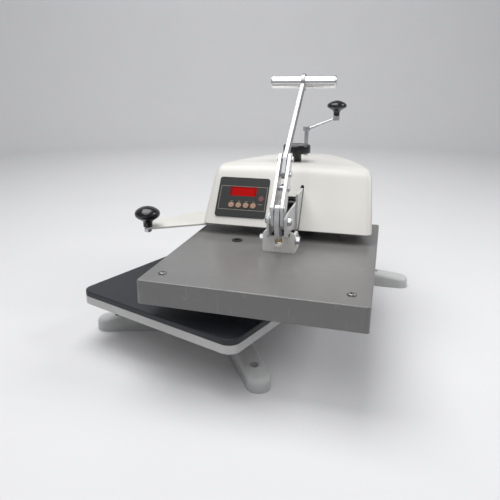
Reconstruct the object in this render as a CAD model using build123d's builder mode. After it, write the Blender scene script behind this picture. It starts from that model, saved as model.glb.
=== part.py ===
from build123d import *
import math
import os

os.makedirs("parts", exist_ok=True)

# Manual swing-away heat press, in millimetres, +Z up, floor at z = 0.
# The origin lies on the floor in the middle of the four bench bolt holes.
# Pieces of the head are drawn over the table, in the head's own frame, whose origin
# lies under the centre of the platen. That frame stands swung by REST_SWING.

# Stand
BOLT_SPACING_X = 380.0
BOLT_SPACING_Y = 625.0
BOLT_HOLE_R = 4.5
BOLT_SEAT_R = 9.0
BOLT_GRIP = 14.0
TABLE_AHEAD = 150.0
AXIS_BEHIND = 381.0
LEG_WIDTH = 48.0
LEG_TOE_H = 28.0
LEG_ROOT_H = 58.0
LEG_ROUND = 11.0
FRONT_LEG_MEET = 10.0
FRONT_TOE = 49.0
REAR_LEG_MEET = 19.0
REAR_TOE = 90.0
SPINE_WIDTH = 66.0
BOSS_R = 66.0
COLUMN_FOOT_R = 62.0
COLUMN_R = 40.0
COLUMN_TOP = 205.0
COLUMN_FLARE_H = 110.0
PAD_R = 14.0
PAD_T = 4.0
FRONT_PAD_OUT = 25.0
REAR_PAD_OUT = 60.0

# Lower table
TABLE_W = 406.0
TABLE_D = 508.0
TABLE_CORNER_R = 25.0
TABLE_BOTTOM = 94.7
TABLE_PLATE_T = 17.0
TABLE_SKIN_T = 7.0
TABLE_RIM_T = 9.0
TABLE_RIB_T = 8.0
TABLE_PAD_T = 12.0
PEDESTAL_FLANGE_T = 9.0
PEDESTAL_WAIST_R = 38.0
PEDESTAL_HEAD_R = 70.0
TABLE_BOLT_R = 54.0
TABLE_SCREW_R = 4.0
TABLE_HEAD_R = 6.8

# Swing post and lift
POST_R = 25.0
POST_BOTTOM = 12.0
SLIDING_FIT = 0.05
KEY_W = 8.0
KEY_DEPTH = 4.0
KEY_PROUD = 3.5
KEY_BOTTOM = 240.0
KEY_LENGTH = 60.0
SLEEVE_R = 31.0
SLEEVE_FLANGE_R = 42.0
SLEEVE_FLANGE_T = 6.0
SLEEVE_GAP = 0.5
SLEEVE_TOP = 336.0
LIFT_ROOM = 14.0
WASHER_T = 2.5
HUB_R = 42.0
HUB_PROUD = 4.0
CAP_R = 38.0
CAP_FLANGE_T = 6.5
CAP_GAP = 0.5
SPINDLE_R = 8.0
SPINDLE_BOTTOM = 226.0
SPINDLE_COLLAR_R = 18.0
SPINDLE_COLLAR_T = 10.0
SHAFT_R = 5.5
SET_COLLAR_R = 13.0
SET_COLLAR_T = 6.5

# Crank
CRANK_ARM_LOW = 427.0
CRANK_HUB_H = 11.0
CRANK_HUB_R = 9.5
CRANK_REACH = 78.0
CRANK_RISE = 26.0
CRANK_ARM_THICK_R = 4.6
CRANK_ARM_THIN_R = 3.0
CRANK_EYE_R = 8.0
CRANK_EYE_H = 8.0
CRANK_BOLT_R = 4.0
CRANK_NUT_T = 4.5
CRANK_KNOB_R = 25.5
CRANK_KNOB_STEM_R = 8.0
CRANK_KNOB_H = 40.0
KNOB_PLAY = 0.5

# Head: swing at rest, height of the opening, deck and arm
REST_SWING = 19.15
OPENING = 36.0
PLATEN_W = 406.0
PLATEN_D = 508.0
HEAT_PLATE_T = 20.0
HEAT_PLATE_PROUD = 2.0
SHROUD_MARGIN = 6.5
SHROUD_H = 46.8
SHEET_T = 2.0
SHROUD_CORNER_R = 6.0
ELEMENT_R = 4.0
ELEMENT_TURN_R = 22.0
ELEMENT_RUN = 190.0
ELEMENT_RUNS = 6
INSULATION_T = 8.0
INSULATION_INSET = 14.0
STRONGBACK_T = 8.0
STRONGBACK_INSET = 12.0
STAY_R = 11.0
SCREW_X = 175.3
SCREW_Y = 215.9
SCREW_R = 4.0
SCREW_HEAD_R = 8.0
SCREW_HEAD_T = 3.5
GROMMET_X = -97.0
GROMMET_Y = 29.0
GROMMET_R = 12.0
GROMMET_BORE_R = 6.5
DECK_RISE = 15.5
DECK_T = 4.0
DECK_INSET = 26.0
DECK_SCREW_OUT = 17.0
TAB_BEHIND = 60.0
TAB_W = 26.0
TAB_H = 26.0
TAB_GAP = 0.2
COVER_GAP = 4.8

# Linkage
LINK_X = 9.0
PIVOT_Y = -34.0
PIVOT_RISE = 52.0
PIVOT_R = 6.0
PIN_RADIUS = 26.7
PIN_ANGLE = 103.0
PIN_R = 5.0
PIN_HEAD_R = 8.5
PIN_HEAD_T = 2.3
ROLLER_Y = -18.0
ROLLER_RISE = 27.5
ROLLER_R = 8.0
ROLLER_W = 12.4
ROLLER_BOLT_R = 5.0
HOOK_PLAY = 0.3
LINK_T = 10.0
LINK_EYE_R = 9.2
LINK_BOW = 17.0
LINK_PLAY = 1.2
SADDLE_LIP = 2.5
SADDLE_TAIL = 5.0
SADDLE_T = 5.5
STRAP_T = 6.0
STRAP_GAP = 2.0
STRAP_PIVOT_R = 14.0
STRAP_PIN_R = 12.0
STRAP_TOP_R = 13.0
STRAP_TOP_Y = 32.0
STRAP_TOP_RISE = 171.0
ARM_WASHER_T = 3.0
ARM_T = 5.0
ARM_FRONT_Y = -49.0
ARM_LOW_RISE = 18.5
ARM_TOP_RISE = 117.0
ARM_RISE_Y = 125.0
ARM_SHOULDER_Y = 165.0
CHEEK_T = 5.0
CHEEK_FRONT_Y = 54.0
CHEEK_FOOT_D = 36.0
CHEEK_HEAD_D = 78.0
CHEEK_LOW_RISE = 10.0
CHEEK_TOP_RISE = 90.0
BAR_T = 8.0
BAR_W = 20.0
BAR_BOLT_R = 4.0
BAR_BOLT_DOWN = 0.25
SPACER_DOWN = 0.48
SPACER_TUBE_R = 5.6
GRIP_Y = 243.0
GRIP_RISE = 328.0
GRIP_LENGTH = 157.0
GRIP_R = 15.0
GRIP_WALL = 2.5

# Bracket on the platen
BRACKET_LEFT = -24.6
BRACKET_RIGHT = 44.5
BRACKET_FRONT_Y = -28.0
BRACKET_REAR_Y = 30.0
BRACKET_WALL = 5.6
BRACKET_FRONT_T = 3.5
BRACKET_FOOT_T = 5.0
BRACKET_RISE = 34.5
BRACKET_EAR_RISE = 45.5
BRACKET_EAR_W = 10.6
BRACKET_SLOT_LEFT = 2.3
BRACKET_SLOT_RIGHT = 17.0
BRACKET_SLOT_RISE = 5.5
SPACER_R = 6.2

# Guides and stop screw
ROD_R = 7.0
ROD_OUT = 45.0
ROD_Y = 160.0
ROD_TOP = 345.0
BUSH_R = 10.0
GUIDE_BLOCK_D = 50.0
GUIDE_BLOCK_W = 38.0
GUIDE_BLOCK_H = 72.0
BLOCK_BOLT_OUT = 19.0
BLOCK_BOLT_LOW = 18.0
LUG_FRONT_Y = 270.0
LUG_MID_Y = 306.0
LUG_BOLT_OUT = 18.0
LUG_BOLT_LOW = 28.0
LUG_BOLT_HIGH = 84.0
LUG_H = 107.0
ARM_BACK_Y = 338.0
THROUGH_BOLT_R = 4.0
THROUGH_HEAD_R = 7.5
THROUGH_HEAD_T = 5.5
STOP_X = 0.0
STOP_Y = 228.0
STOP_R = 6.0
STOP_BLOCK_D = 42.0
STOP_BLOCK_H = 40.0
STOP_BLOCK_DROP = 15.0
STOP_BOLT_OUT = 15.0
STOP_FOOT_R = 12.0
STOP_FOOT_T = 9.0
STOP_FOOT_GAP = 4.5
STOP_KNOB_R = 33.5
STOP_KNOB_T = 21.0
STOP_KNOB_STEM_R = 12.0
STOP_KNOB_STEM_H = 20.5
STEM_PLAY = 1.5

# Wing and swing knob
WING_KNOB_X = -313.0
WING_KNOB_Y = 14.0
WING_FRONT = (-318.0, -6.0)
WING_FRONT_ROOT = (-190.0, 81.0)
WING_FRONT_END = (-140.0, 105.0)
WING_REAR_END = (-130.0, 200.0)
WING_REAR_ROOT = (-241.0, 194.0)
WING_REAR = (-330.0, 57.0)
WING_ROUND = 16.0
SWING_KNOB_R = 30.0
SWING_KNOB_STEM_R = 11.0
SWING_KNOB_STEM_H = 13.0
SWING_KNOB_H = 49.5
SWING_STUD_R = 5.0

# Cover
COVER_WALL = 3.0
COVER_FRONT_Y = 68.0
COVER_FRONT_HALF = 197.0
COVER_MID_Y = 220.0
COVER_MID_HALF = 172.0
COVER_REAR_Y = 436.0
COVER_REAR_HALF = 73.0
COVER_LEAN = 0.68
COVER_TOP_RISE = 134.2
COVER_TOP_Y = 187.0
COVER_TOP_FALL = 0.035
COVER_BEND_R = 45.0
COVER_EDGE_R = 14.0
COVER_SLOT_MARGIN = 4.0
COVER_SLOT_RISE = 67.0
CHEEK_SLOT_W = 8.0
CHEEK_SLOT_RISE = 88.0

# Panel
PANEL_LEFT = -168.0
PANEL_W = 123.0
PANEL_LOW = 20.5
PANEL_H = 101.0
PANEL_T = 2.5
PANEL_CORNER_R = 6.0
PANEL_LEDGE = 8.0
DISPLAY_X = -106.5
DISPLAY_S = 85.5
DISPLAY_W = 65.0
DISPLAY_H = 24.0
BUTTON_X = -130.8
BUTTON_PITCH = 17.93
BUTTON_S = 49.8
BUTTON_R = 7.0
BUTTON_PROUD = 1.6
BUTTON_PLAY = 0.3
BUTTON_COUNT = 4
LAMP_X = -60.3
LAMP_S = 68.8
LAMP_R = 7.0

# Rear controls
INLET_Y = 322.0
ROCKER_Y = 272.0
REAR_CONTROL_RISE = 48.0
INLET_W = 48.0
INLET_H = 26.0
INLET_DEPTH = 26.0
SWITCH_W = 22.0
SWITCH_H = 30.0
SWITCH_DEPTH = 22.0
CONTROL_LIP = 3.0
ROCKER_R = 11.0
ROCKER_DEPTH = 6.0
ROCKER_PROUD = 3.0
ROCKER_TILT = 8.0
INLET_PIN_W = 2.0
INLET_PIN_H = 4.0
INLET_PIN_PITCH = 7.0
INLET_PIN_STEP = 1.5
RELAY_X = -95.0
RELAY_Y = 250.0
RELAY_W = 44.0
RELAY_D = 44.0
RELAY_H = 20.0
RELAY_FOOT_D = 58.0
RELAY_FOOT_T = 6.0

# Places worked out from the sizes above
TABLE_TOP = TABLE_BOTTOM + TABLE_PLATE_T
PAD_TOP = TABLE_TOP + TABLE_PAD_T
AXIS_Y = AXIS_BEHIND - TABLE_AHEAD
PLATEN_Z = PAD_TOP + OPENING
SHROUD_Z = PLATEN_Z + HEAT_PLATE_PROUD
SHROUD_TOP = SHROUD_Z + SHROUD_H
HEAT_PLATE_TOP = PLATEN_Z + HEAT_PLATE_T
ELEMENT_Z = HEAT_PLATE_TOP + ELEMENT_R
INSULATION_Z = ELEMENT_Z + ELEMENT_R
STRONGBACK_TOP = SHROUD_TOP - SHEET_T
STRONGBACK_Z = STRONGBACK_TOP - STRONGBACK_T
DECK_Z = SHROUD_TOP + DECK_RISE
DECK_TOP = DECK_Z + DECK_T
COVER_Z = DECK_TOP + COVER_GAP
SLEEVE_BOTTOM = COLUMN_TOP + SLEEVE_GAP
WASHER_Z = SLEEVE_BOTTOM + SLEEVE_FLANGE_T
HUB_BOTTOM = WASHER_Z + WASHER_T
HUB_TOP = SLEEVE_TOP + HUB_PROUD
POST_TOP = SLEEVE_TOP - SPINDLE_COLLAR_T - LIFT_ROOM
CAP_Z = HUB_TOP + CAP_GAP
CAP_TOP = CAP_Z + CAP_FLANGE_T
CRANK_ARM_TOP = CRANK_ARM_LOW + CRANK_HUB_H
CRANK_EYE_Z = CRANK_ARM_TOP + CRANK_RISE - CRANK_EYE_H
CRANK_KNOB_Z = CRANK_EYE_Z + CRANK_EYE_H + CRANK_NUT_T
PIVOT_Z = DECK_TOP + PIVOT_RISE
PIN_Y = PIVOT_Y + PIN_RADIUS * math.cos(math.radians(PIN_ANGLE))
PIN_Z = PIVOT_Z + PIN_RADIUS * math.sin(math.radians(PIN_ANGLE))
ROLLER_Z = SHROUD_TOP + ROLLER_RISE
STRAP_TOP_Z = DECK_TOP + STRAP_TOP_RISE
GRIP_Z = DECK_TOP + GRIP_RISE
LINK_LEFT = LINK_X - LINK_T / 2
STRAP_IN_LEFT = LINK_LEFT - STRAP_GAP
STRAP_IN_RIGHT = LINK_X + LINK_T / 2 + STRAP_GAP
ARM_IN_LEFT = STRAP_IN_LEFT - STRAP_T - ARM_WASHER_T
ARM_IN_RIGHT = STRAP_IN_RIGHT + STRAP_T + ARM_WASHER_T
ARM_LEFT = ARM_IN_LEFT - ARM_T
ARM_RIGHT = ARM_IN_RIGHT + ARM_T
ARM_LOW = DECK_TOP + ARM_LOW_RISE
ARM_TOP = DECK_TOP + ARM_TOP_RISE
STRAP_SIDES = (STRAP_IN_LEFT - STRAP_T, STRAP_IN_RIGHT)
STOP_BLOCK_TOP = ARM_TOP - STOP_BLOCK_DROP

# Frames: the table, the swing axis, the head and the crank
REST = math.radians(REST_SWING)
HEAD_X = Vector(math.cos(REST), math.sin(REST), 0)
HEAD_Y = Vector(-math.sin(REST), math.cos(REST), 0)
UP = Vector(0, 0, 1)
TABLE = Plane(origin=(0, -TABLE_AHEAD, 0))
AXIS = Plane(origin=(0, AXIS_Y, 0))
HEAD = Plane(origin=AXIS.origin - HEAD_Y * AXIS_BEHIND, x_dir=HEAD_X, z_dir=UP)
CRANK = Plane(origin=AXIS.origin, x_dir=HEAD_X, z_dir=UP)


def level(frame, height):
    """A frame's horizontal plane at a height above the floor."""
    return frame.offset(height)


def side(frame, x):
    """The upright plane at a frame's x, with its own x along the frame's y."""
    return Plane(origin=frame.from_local_coords((x, 0, 0)), x_dir=frame.y_dir, z_dir=frame.x_dir)


def front(frame, y):
    """The upright plane at a frame's y, facing forwards, with its own x along the frame's x."""
    return Plane(origin=frame.from_local_coords((0, y, 0)), x_dir=frame.x_dir, z_dir=-frame.y_dir)


def circle_through(first, second, third):
    """Centre and radius of the circle through three points of a plane."""
    ax, ay = first
    bx, by = second
    cx, cy = third
    twice_area = 2 * (ax * (by - cy) + bx * (cy - ay) + cx * (ay - by))
    a2, b2, c2 = ax**2 + ay**2, bx**2 + by**2, cx**2 + cy**2
    x = (a2 * (by - cy) + b2 * (cy - ay) + c2 * (ay - by)) / twice_area
    y = (a2 * (cx - bx) + b2 * (ax - cx) + c2 * (bx - ax)) / twice_area
    return x, y, math.hypot(ax - x, ay - y)


COVER_SIDE_X, COVER_SIDE_Y, COVER_SIDE_R = circle_through(
    (COVER_FRONT_HALF, COVER_FRONT_Y),
    (COVER_MID_HALF, COVER_MID_Y),
    (COVER_REAR_HALF, COVER_REAR_Y),
)


def cover_side(hand, y, inward, height):
    """The plane that lies on the cover's curved side, facing out, on the side that hand gives."""
    outward_y = (y - COVER_SIDE_Y) / COVER_SIDE_R
    outward_x = math.sqrt(1 - outward_y**2)
    reach = COVER_SIDE_R - inward
    x = hand * (COVER_SIDE_X + reach * outward_x)
    origin = HEAD.from_local_coords((x, COVER_SIDE_Y + reach * outward_y, height))
    outward = HEAD_X * (hand * outward_x) + HEAD_Y * outward_y
    return Plane(origin=origin, x_dir=UP.cross(outward), z_dir=outward)


def leg(start, hole, overhang, pad_out):
    """One leg, from its root towards a bench bolt hole and on to its toe."""
    along = (hole - start).normalized()
    hole_out = (hole - start).length
    reach = hole_out + overhang
    run = Plane(origin=start, x_dir=along, z_dir=along.cross(UP))
    flat = Plane(origin=start, x_dir=along, z_dir=UP)
    with BuildPart() as limb:
        with BuildSketch(run):
            Polygon((0, 0), (reach, 0), (reach, LEG_TOE_H), (0, LEG_ROOT_H), align=None)
        extrude(amount=LEG_WIDTH / 2, both=True)
        toe = limb.edges().filter_by(Axis.Z).sort_by(Axis(start, along))[-2:]
        fillet(toe, LEG_WIDTH / 2 - 1)
        rim = limb.edges().filter_by(lambda edge: edge.bounding_box().min.Z > LEG_TOE_H / 2)
        root = limb.edges().sort_by(Axis(start, along))[0]
        fillet([edge for edge in rim if edge.center() != root.center()], LEG_ROUND)
        with BuildSketch(flat):
            with Locations((hole_out, 0)):
                Circle(BOLT_HOLE_R)
        extrude(amount=LEG_ROOT_H, mode=Mode.SUBTRACT)
        with BuildSketch(flat.offset(BOLT_GRIP)):
            with Locations((hole_out, 0)):
                Circle(BOLT_SEAT_R)
        extrude(amount=LEG_ROOT_H, mode=Mode.SUBTRACT)
        with BuildSketch(flat):
            with Locations((hole_out + pad_out, 0)):
                Circle(PAD_R)
        extrude(amount=PAD_T, mode=Mode.SUBTRACT)
    return limb.part


FRONT_ROOT = Vector(0, -TABLE_AHEAD - FRONT_LEG_MEET, 0)
REAR_ROOT = Vector(0, AXIS_Y + REAR_LEG_MEET, 0)
FRONT_HOLE = Vector(BOLT_SPACING_X / 2, -BOLT_SPACING_Y / 2, 0)
REAR_HOLE = Vector(BOLT_SPACING_X / 2, BOLT_SPACING_Y / 2, 0)
front_leg = leg(FRONT_ROOT, FRONT_HOLE, FRONT_TOE, FRONT_PAD_OUT)
rear_leg = leg(REAR_ROOT, REAR_HOLE, REAR_TOE, REAR_PAD_OUT)
FRONT_PAD = FRONT_HOLE + (FRONT_HOLE - FRONT_ROOT).normalized() * FRONT_PAD_OUT
REAR_PAD = REAR_HOLE + (REAR_HOLE - REAR_ROOT).normalized() * REAR_PAD_OUT

# Cast base: four legs, a spine, the boss under the table and the post socket
with BuildPart() as base_casting:
    add(front_leg)
    add(rear_leg)
    mirror(about=Plane.YZ)
    with BuildSketch(Plane.XY):
        with Locations((0, (AXIS_Y - TABLE_AHEAD) / 2)):
            Rectangle(SPINE_WIDTH, AXIS_BEHIND)
        with Locations((0, -TABLE_AHEAD)):
            Circle(BOSS_R)
        with Locations((0, AXIS_Y)):
            Circle(COLUMN_FOOT_R)
    extrude(amount=LEG_ROOT_H)
    with BuildSketch(side(AXIS, 0)):
        with BuildLine():
            Polyline(
                (0, LEG_ROOT_H),
                (COLUMN_FOOT_R, LEG_ROOT_H),
                (COLUMN_R, COLUMN_FLARE_H),
                (COLUMN_R, COLUMN_TOP),
                (0, COLUMN_TOP),
                close=True,
            )
        make_face()
    revolve(axis=Axis(AXIS.origin, UP))
    with BuildSketch(level(AXIS, POST_BOTTOM)):
        Circle(POST_R)
    extrude(amount=COLUMN_TOP, mode=Mode.SUBTRACT)
    with BuildSketch(level(TABLE, LEG_ROOT_H)):
        with PolarLocations(TABLE_BOLT_R, 4, start_angle=45):
            Circle(TABLE_SCREW_R)
    extrude(amount=-LEG_ROOT_H / 2, mode=Mode.SUBTRACT)
base_casting.part.label = "base_casting"
export_step(base_casting.part, "parts/base_casting.step")

# Rubber pads let into the toes, flush with the underside
with BuildPart() as foot_pads:
    with BuildSketch(Plane.XY):
        for spot in (FRONT_PAD, REAR_PAD):
            with Locations((spot.X, spot.Y), (-spot.X, spot.Y)):
                Circle(PAD_R)
    extrude(amount=PAD_T)
foot_pads.part.label = "foot_pads"
export_step(foot_pads.part, "parts/foot_pads.step")

# Pedestal between the casting and the table
with BuildPart() as table_pedestal:
    with BuildSketch(side(TABLE, 0)):
        with BuildLine():
            Polyline(
                (0, LEG_ROOT_H),
                (BOSS_R, LEG_ROOT_H),
                (BOSS_R, LEG_ROOT_H + PEDESTAL_FLANGE_T),
                (PEDESTAL_WAIST_R, LEG_ROOT_H + PEDESTAL_FLANGE_T),
                (PEDESTAL_WAIST_R, TABLE_BOTTOM - PEDESTAL_FLANGE_T),
                (PEDESTAL_HEAD_R, TABLE_BOTTOM - PEDESTAL_FLANGE_T),
                (PEDESTAL_HEAD_R, TABLE_BOTTOM),
                (0, TABLE_BOTTOM),
                close=True,
            )
        make_face()
    revolve(axis=Axis(TABLE.origin, UP))
    with BuildSketch(level(TABLE, LEG_ROOT_H)):
        with PolarLocations(TABLE_BOLT_R, 4, start_angle=45):
            Circle(TABLE_SCREW_R)
        with PolarLocations(TABLE_BOLT_R, 4):
            Circle(TABLE_SCREW_R)
    extrude(amount=TABLE_BOTTOM, mode=Mode.SUBTRACT)
table_pedestal.part.label = "table_pedestal"
export_step(table_pedestal.part, "parts/table_pedestal.step")

# Screws of the pedestal: four down into the casting, four up into the table
with BuildPart() as table_screws:
    with BuildSketch(level(TABLE, LEG_ROOT_H + PEDESTAL_FLANGE_T)):
        with PolarLocations(TABLE_BOLT_R, 4, start_angle=45):
            Circle(TABLE_SCREW_R)
    extrude(amount=-PEDESTAL_FLANGE_T - LEG_ROOT_H / 2)
    with BuildSketch(level(TABLE, LEG_ROOT_H + PEDESTAL_FLANGE_T)):
        with PolarLocations(TABLE_BOLT_R, 4, start_angle=45):
            Circle(TABLE_HEAD_R)
    extrude(amount=TABLE_SCREW_R)
    with BuildSketch(level(TABLE, TABLE_BOTTOM - PEDESTAL_FLANGE_T)):
        with PolarLocations(TABLE_BOLT_R, 4):
            Circle(TABLE_SCREW_R)
    extrude(amount=PEDESTAL_FLANGE_T + TABLE_PLATE_T / 2)
    with BuildSketch(level(TABLE, TABLE_BOTTOM - PEDESTAL_FLANGE_T)):
        with PolarLocations(TABLE_BOLT_R, 4):
            Circle(TABLE_HEAD_R)
    extrude(amount=-TABLE_SCREW_R)
table_screws.part.label = "table_screws"
export_step(table_screws.part, "parts/table_screws.step")

# Lower table plate with a rim, ribs and a boss below its skin
with BuildPart() as table_plate:
    with BuildSketch(level(TABLE, TABLE_BOTTOM)):
        RectangleRounded(TABLE_W, TABLE_D, TABLE_CORNER_R)
    extrude(amount=TABLE_PLATE_T)
    with BuildSketch(level(TABLE, TABLE_BOTTOM)):
        RectangleRounded(
            TABLE_W - 2 * TABLE_RIM_T, TABLE_D - 2 * TABLE_RIM_T, TABLE_CORNER_R - TABLE_RIM_T
        )
        Rectangle(TABLE_RIB_T, TABLE_D, mode=Mode.SUBTRACT)
        Rectangle(TABLE_W, TABLE_RIB_T, mode=Mode.SUBTRACT)
        Circle(PEDESTAL_HEAD_R, mode=Mode.SUBTRACT)
    extrude(amount=TABLE_PLATE_T - TABLE_SKIN_T, mode=Mode.SUBTRACT)
    with BuildSketch(level(TABLE, TABLE_BOTTOM)):
        with PolarLocations(TABLE_BOLT_R, 4):
            Circle(TABLE_SCREW_R)
    extrude(amount=TABLE_PLATE_T / 2, mode=Mode.SUBTRACT)
table_plate.part.label = "table_plate"
export_step(table_plate.part, "parts/table_plate.step")

# Soft pad on the table
with BuildPart() as table_pad:
    with BuildSketch(level(TABLE, TABLE_TOP)):
        RectangleRounded(TABLE_W, TABLE_D, TABLE_CORNER_R)
    extrude(amount=TABLE_PAD_T)
    fillet(table_pad.faces().sort_by(Axis.Z)[-1].edges(), TABLE_PAD_T / 8)
table_pad.part.label = "table_pad"
export_step(table_pad.part, "parts/table_pad.step")

# Swing post, with the spindle's bore in its top and a seat for the key in its front
with BuildPart() as swing_post:
    with BuildSketch(level(AXIS, POST_BOTTOM)):
        Circle(POST_R)
    extrude(amount=POST_TOP - POST_BOTTOM)
    with BuildSketch(level(AXIS, SPINDLE_BOTTOM - SPINDLE_R)):
        Circle(SPINDLE_R + SLIDING_FIT)
    extrude(amount=POST_TOP, mode=Mode.SUBTRACT)
    with BuildSketch(level(AXIS, KEY_BOTTOM)):
        with Locations((0, -POST_R)):
            Rectangle(KEY_W, 2 * KEY_DEPTH)
    extrude(amount=KEY_LENGTH, mode=Mode.SUBTRACT)
swing_post.part.label = "swing_post"
export_step(swing_post.part, "parts/swing_post.step")

# Feather key that keeps the lift sleeve from turning
with BuildPart() as post_key:
    with BuildSketch(level(AXIS, KEY_BOTTOM)):
        with Locations((0, -POST_R + (KEY_DEPTH - KEY_PROUD) / 2)):
            Rectangle(KEY_W, KEY_DEPTH + KEY_PROUD)
    extrude(amount=KEY_LENGTH)
post_key.part.label = "post_key"
export_step(post_key.part, "parts/post_key.step")

# Lift sleeve: slides on the post and carries the hub on its flange
with BuildPart() as lift_sleeve:
    with BuildSketch(level(AXIS, SLEEVE_BOTTOM)):
        Circle(SLEEVE_FLANGE_R)
    extrude(amount=SLEEVE_FLANGE_T)
    with BuildSketch(level(AXIS, SLEEVE_BOTTOM)):
        Circle(SLEEVE_R)
    extrude(amount=SLEEVE_TOP - SLEEVE_BOTTOM)
    with BuildSketch(level(AXIS, SLEEVE_BOTTOM)):
        Circle(POST_R + SLIDING_FIT)
        with Locations((0, -POST_R)):
            Rectangle(KEY_W + 4 * SLIDING_FIT, 2 * KEY_PROUD + 10 * SLIDING_FIT)
    extrude(amount=SLEEVE_TOP - SLEEVE_BOTTOM, mode=Mode.SUBTRACT)
lift_sleeve.part.label = "lift_sleeve"
export_step(lift_sleeve.part, "parts/lift_sleeve.step")

# Bronze washer under the hub
with BuildPart() as thrust_washer:
    with BuildSketch(level(AXIS, WASHER_Z)):
        Circle(SLEEVE_FLANGE_R - 1)
        Circle(SLEEVE_R + SLIDING_FIT, mode=Mode.SUBTRACT)
    extrude(amount=WASHER_T)
thrust_washer.part.label = "thrust_washer"
export_step(thrust_washer.part, "parts/thrust_washer.step")

# Cap screwed into the sleeve: it holds the hub down and the spindle up
with BuildPart() as sleeve_cap:
    with BuildSketch(level(AXIS, SLEEVE_TOP)):
        Circle(SLEEVE_R)
    extrude(amount=CAP_Z - SLEEVE_TOP)
    with BuildSketch(level(AXIS, CAP_Z)):
        Circle(CAP_R)
    extrude(amount=CAP_FLANGE_T)
    with BuildSketch(level(AXIS, SLEEVE_TOP)):
        Circle(SPINDLE_R + SLIDING_FIT)
    extrude(amount=CAP_TOP, mode=Mode.SUBTRACT)
sleeve_cap.part.label = "sleeve_cap"
export_step(sleeve_cap.part, "parts/sleeve_cap.step")

# Crank spindle: screw, thrust collar under the cap, and the shaft that rises over the cover
with BuildPart() as crank_spindle:
    with BuildSketch(level(AXIS, SPINDLE_BOTTOM)):
        Circle(SPINDLE_R)
    extrude(amount=CAP_TOP - SPINDLE_BOTTOM)
    with BuildSketch(level(AXIS, SLEEVE_TOP - SPINDLE_COLLAR_T)):
        Circle(SPINDLE_COLLAR_R)
    extrude(amount=SPINDLE_COLLAR_T)
    with BuildSketch(level(AXIS, CAP_TOP)):
        Circle(SHAFT_R)
    extrude(amount=CRANK_ARM_TOP - CAP_TOP)
crank_spindle.part.label = "crank_spindle"
export_step(crank_spindle.part, "parts/crank_spindle.step")

# Collar set on the shaft over the cap
with BuildPart() as spindle_collar:
    with BuildSketch(level(AXIS, CAP_TOP)):
        Circle(SET_COLLAR_R)
        Circle(SHAFT_R, mode=Mode.SUBTRACT)
    extrude(amount=SET_COLLAR_T)
spindle_collar.part.label = "spindle_collar"
export_step(spindle_collar.part, "parts/spindle_collar.step")

# Crank arm: a hub on the shaft, a rising taper and an eye for the knob's bolt
CRANK_ARM_FOOT = (SHAFT_R + CRANK_HUB_R) / 2
CRANK_ARM_TIP = CRANK_REACH - (CRANK_BOLT_R + CRANK_EYE_R) / 2
CRANK_RUN = Vector(
    CRANK_ARM_TIP - CRANK_ARM_FOOT, CRANK_EYE_Z + CRANK_EYE_H / 2 - CRANK_ARM_LOW - CRANK_HUB_H / 2
)
CRANK_START = CRANK.from_local_coords((CRANK_ARM_FOOT, 0, CRANK_ARM_LOW + CRANK_HUB_H / 2))
CRANK_LINE = Plane(
    origin=CRANK_START, x_dir=CRANK.x_dir * CRANK_RUN.X + UP * CRANK_RUN.Y, z_dir=CRANK.y_dir
)
with BuildPart() as crank_arm:
    with BuildSketch(CRANK_LINE):
        Polygon(
            (0, 0),
            (CRANK_RUN.length, 0),
            (CRANK_RUN.length, CRANK_ARM_THIN_R),
            (0, CRANK_ARM_THICK_R),
            align=None,
        )
    revolve(axis=Axis(CRANK_START, CRANK_LINE.x_dir))
    with BuildSketch(level(CRANK, CRANK_ARM_LOW)):
        Circle(CRANK_HUB_R)
    extrude(amount=CRANK_HUB_H)
    with BuildSketch(level(CRANK, CRANK_EYE_Z)):
        with Locations((CRANK_REACH, 0)):
            Circle(CRANK_EYE_R)
    extrude(amount=CRANK_EYE_H)
    with BuildSketch(level(CRANK, CRANK_ARM_LOW)):
        Circle(SHAFT_R)
    extrude(amount=CRANK_HUB_H, mode=Mode.SUBTRACT)
    with BuildSketch(level(CRANK, CRANK_EYE_Z)):
        with Locations((CRANK_REACH, 0)):
            Circle(CRANK_BOLT_R)
    extrude(amount=CRANK_EYE_H, mode=Mode.SUBTRACT)
crank_arm.part.label = "crank_arm"
export_step(crank_arm.part, "parts/crank_arm.step")

# Bolt in the crank's eye, with its nut, that the knob spins on
CRANK_BOLT_TOP = CRANK_KNOB_Z + CRANK_KNOB_H * 0.75
with BuildPart() as crank_bolt:
    with BuildSketch(level(CRANK, CRANK_EYE_Z)):
        with Locations((CRANK_REACH, 0)):
            Circle(CRANK_BOLT_R)
    extrude(amount=CRANK_BOLT_TOP - CRANK_EYE_Z)
    with BuildSketch(level(CRANK, CRANK_EYE_Z + CRANK_EYE_H)):
        with Locations((CRANK_REACH, 0)):
            RegularPolygon(radius=CRANK_EYE_R, side_count=6)
    extrude(amount=CRANK_NUT_T - KNOB_PLAY)
crank_bolt.part.label = "crank_bolt"
export_step(crank_bolt.part, "parts/crank_bolt.step")

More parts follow.
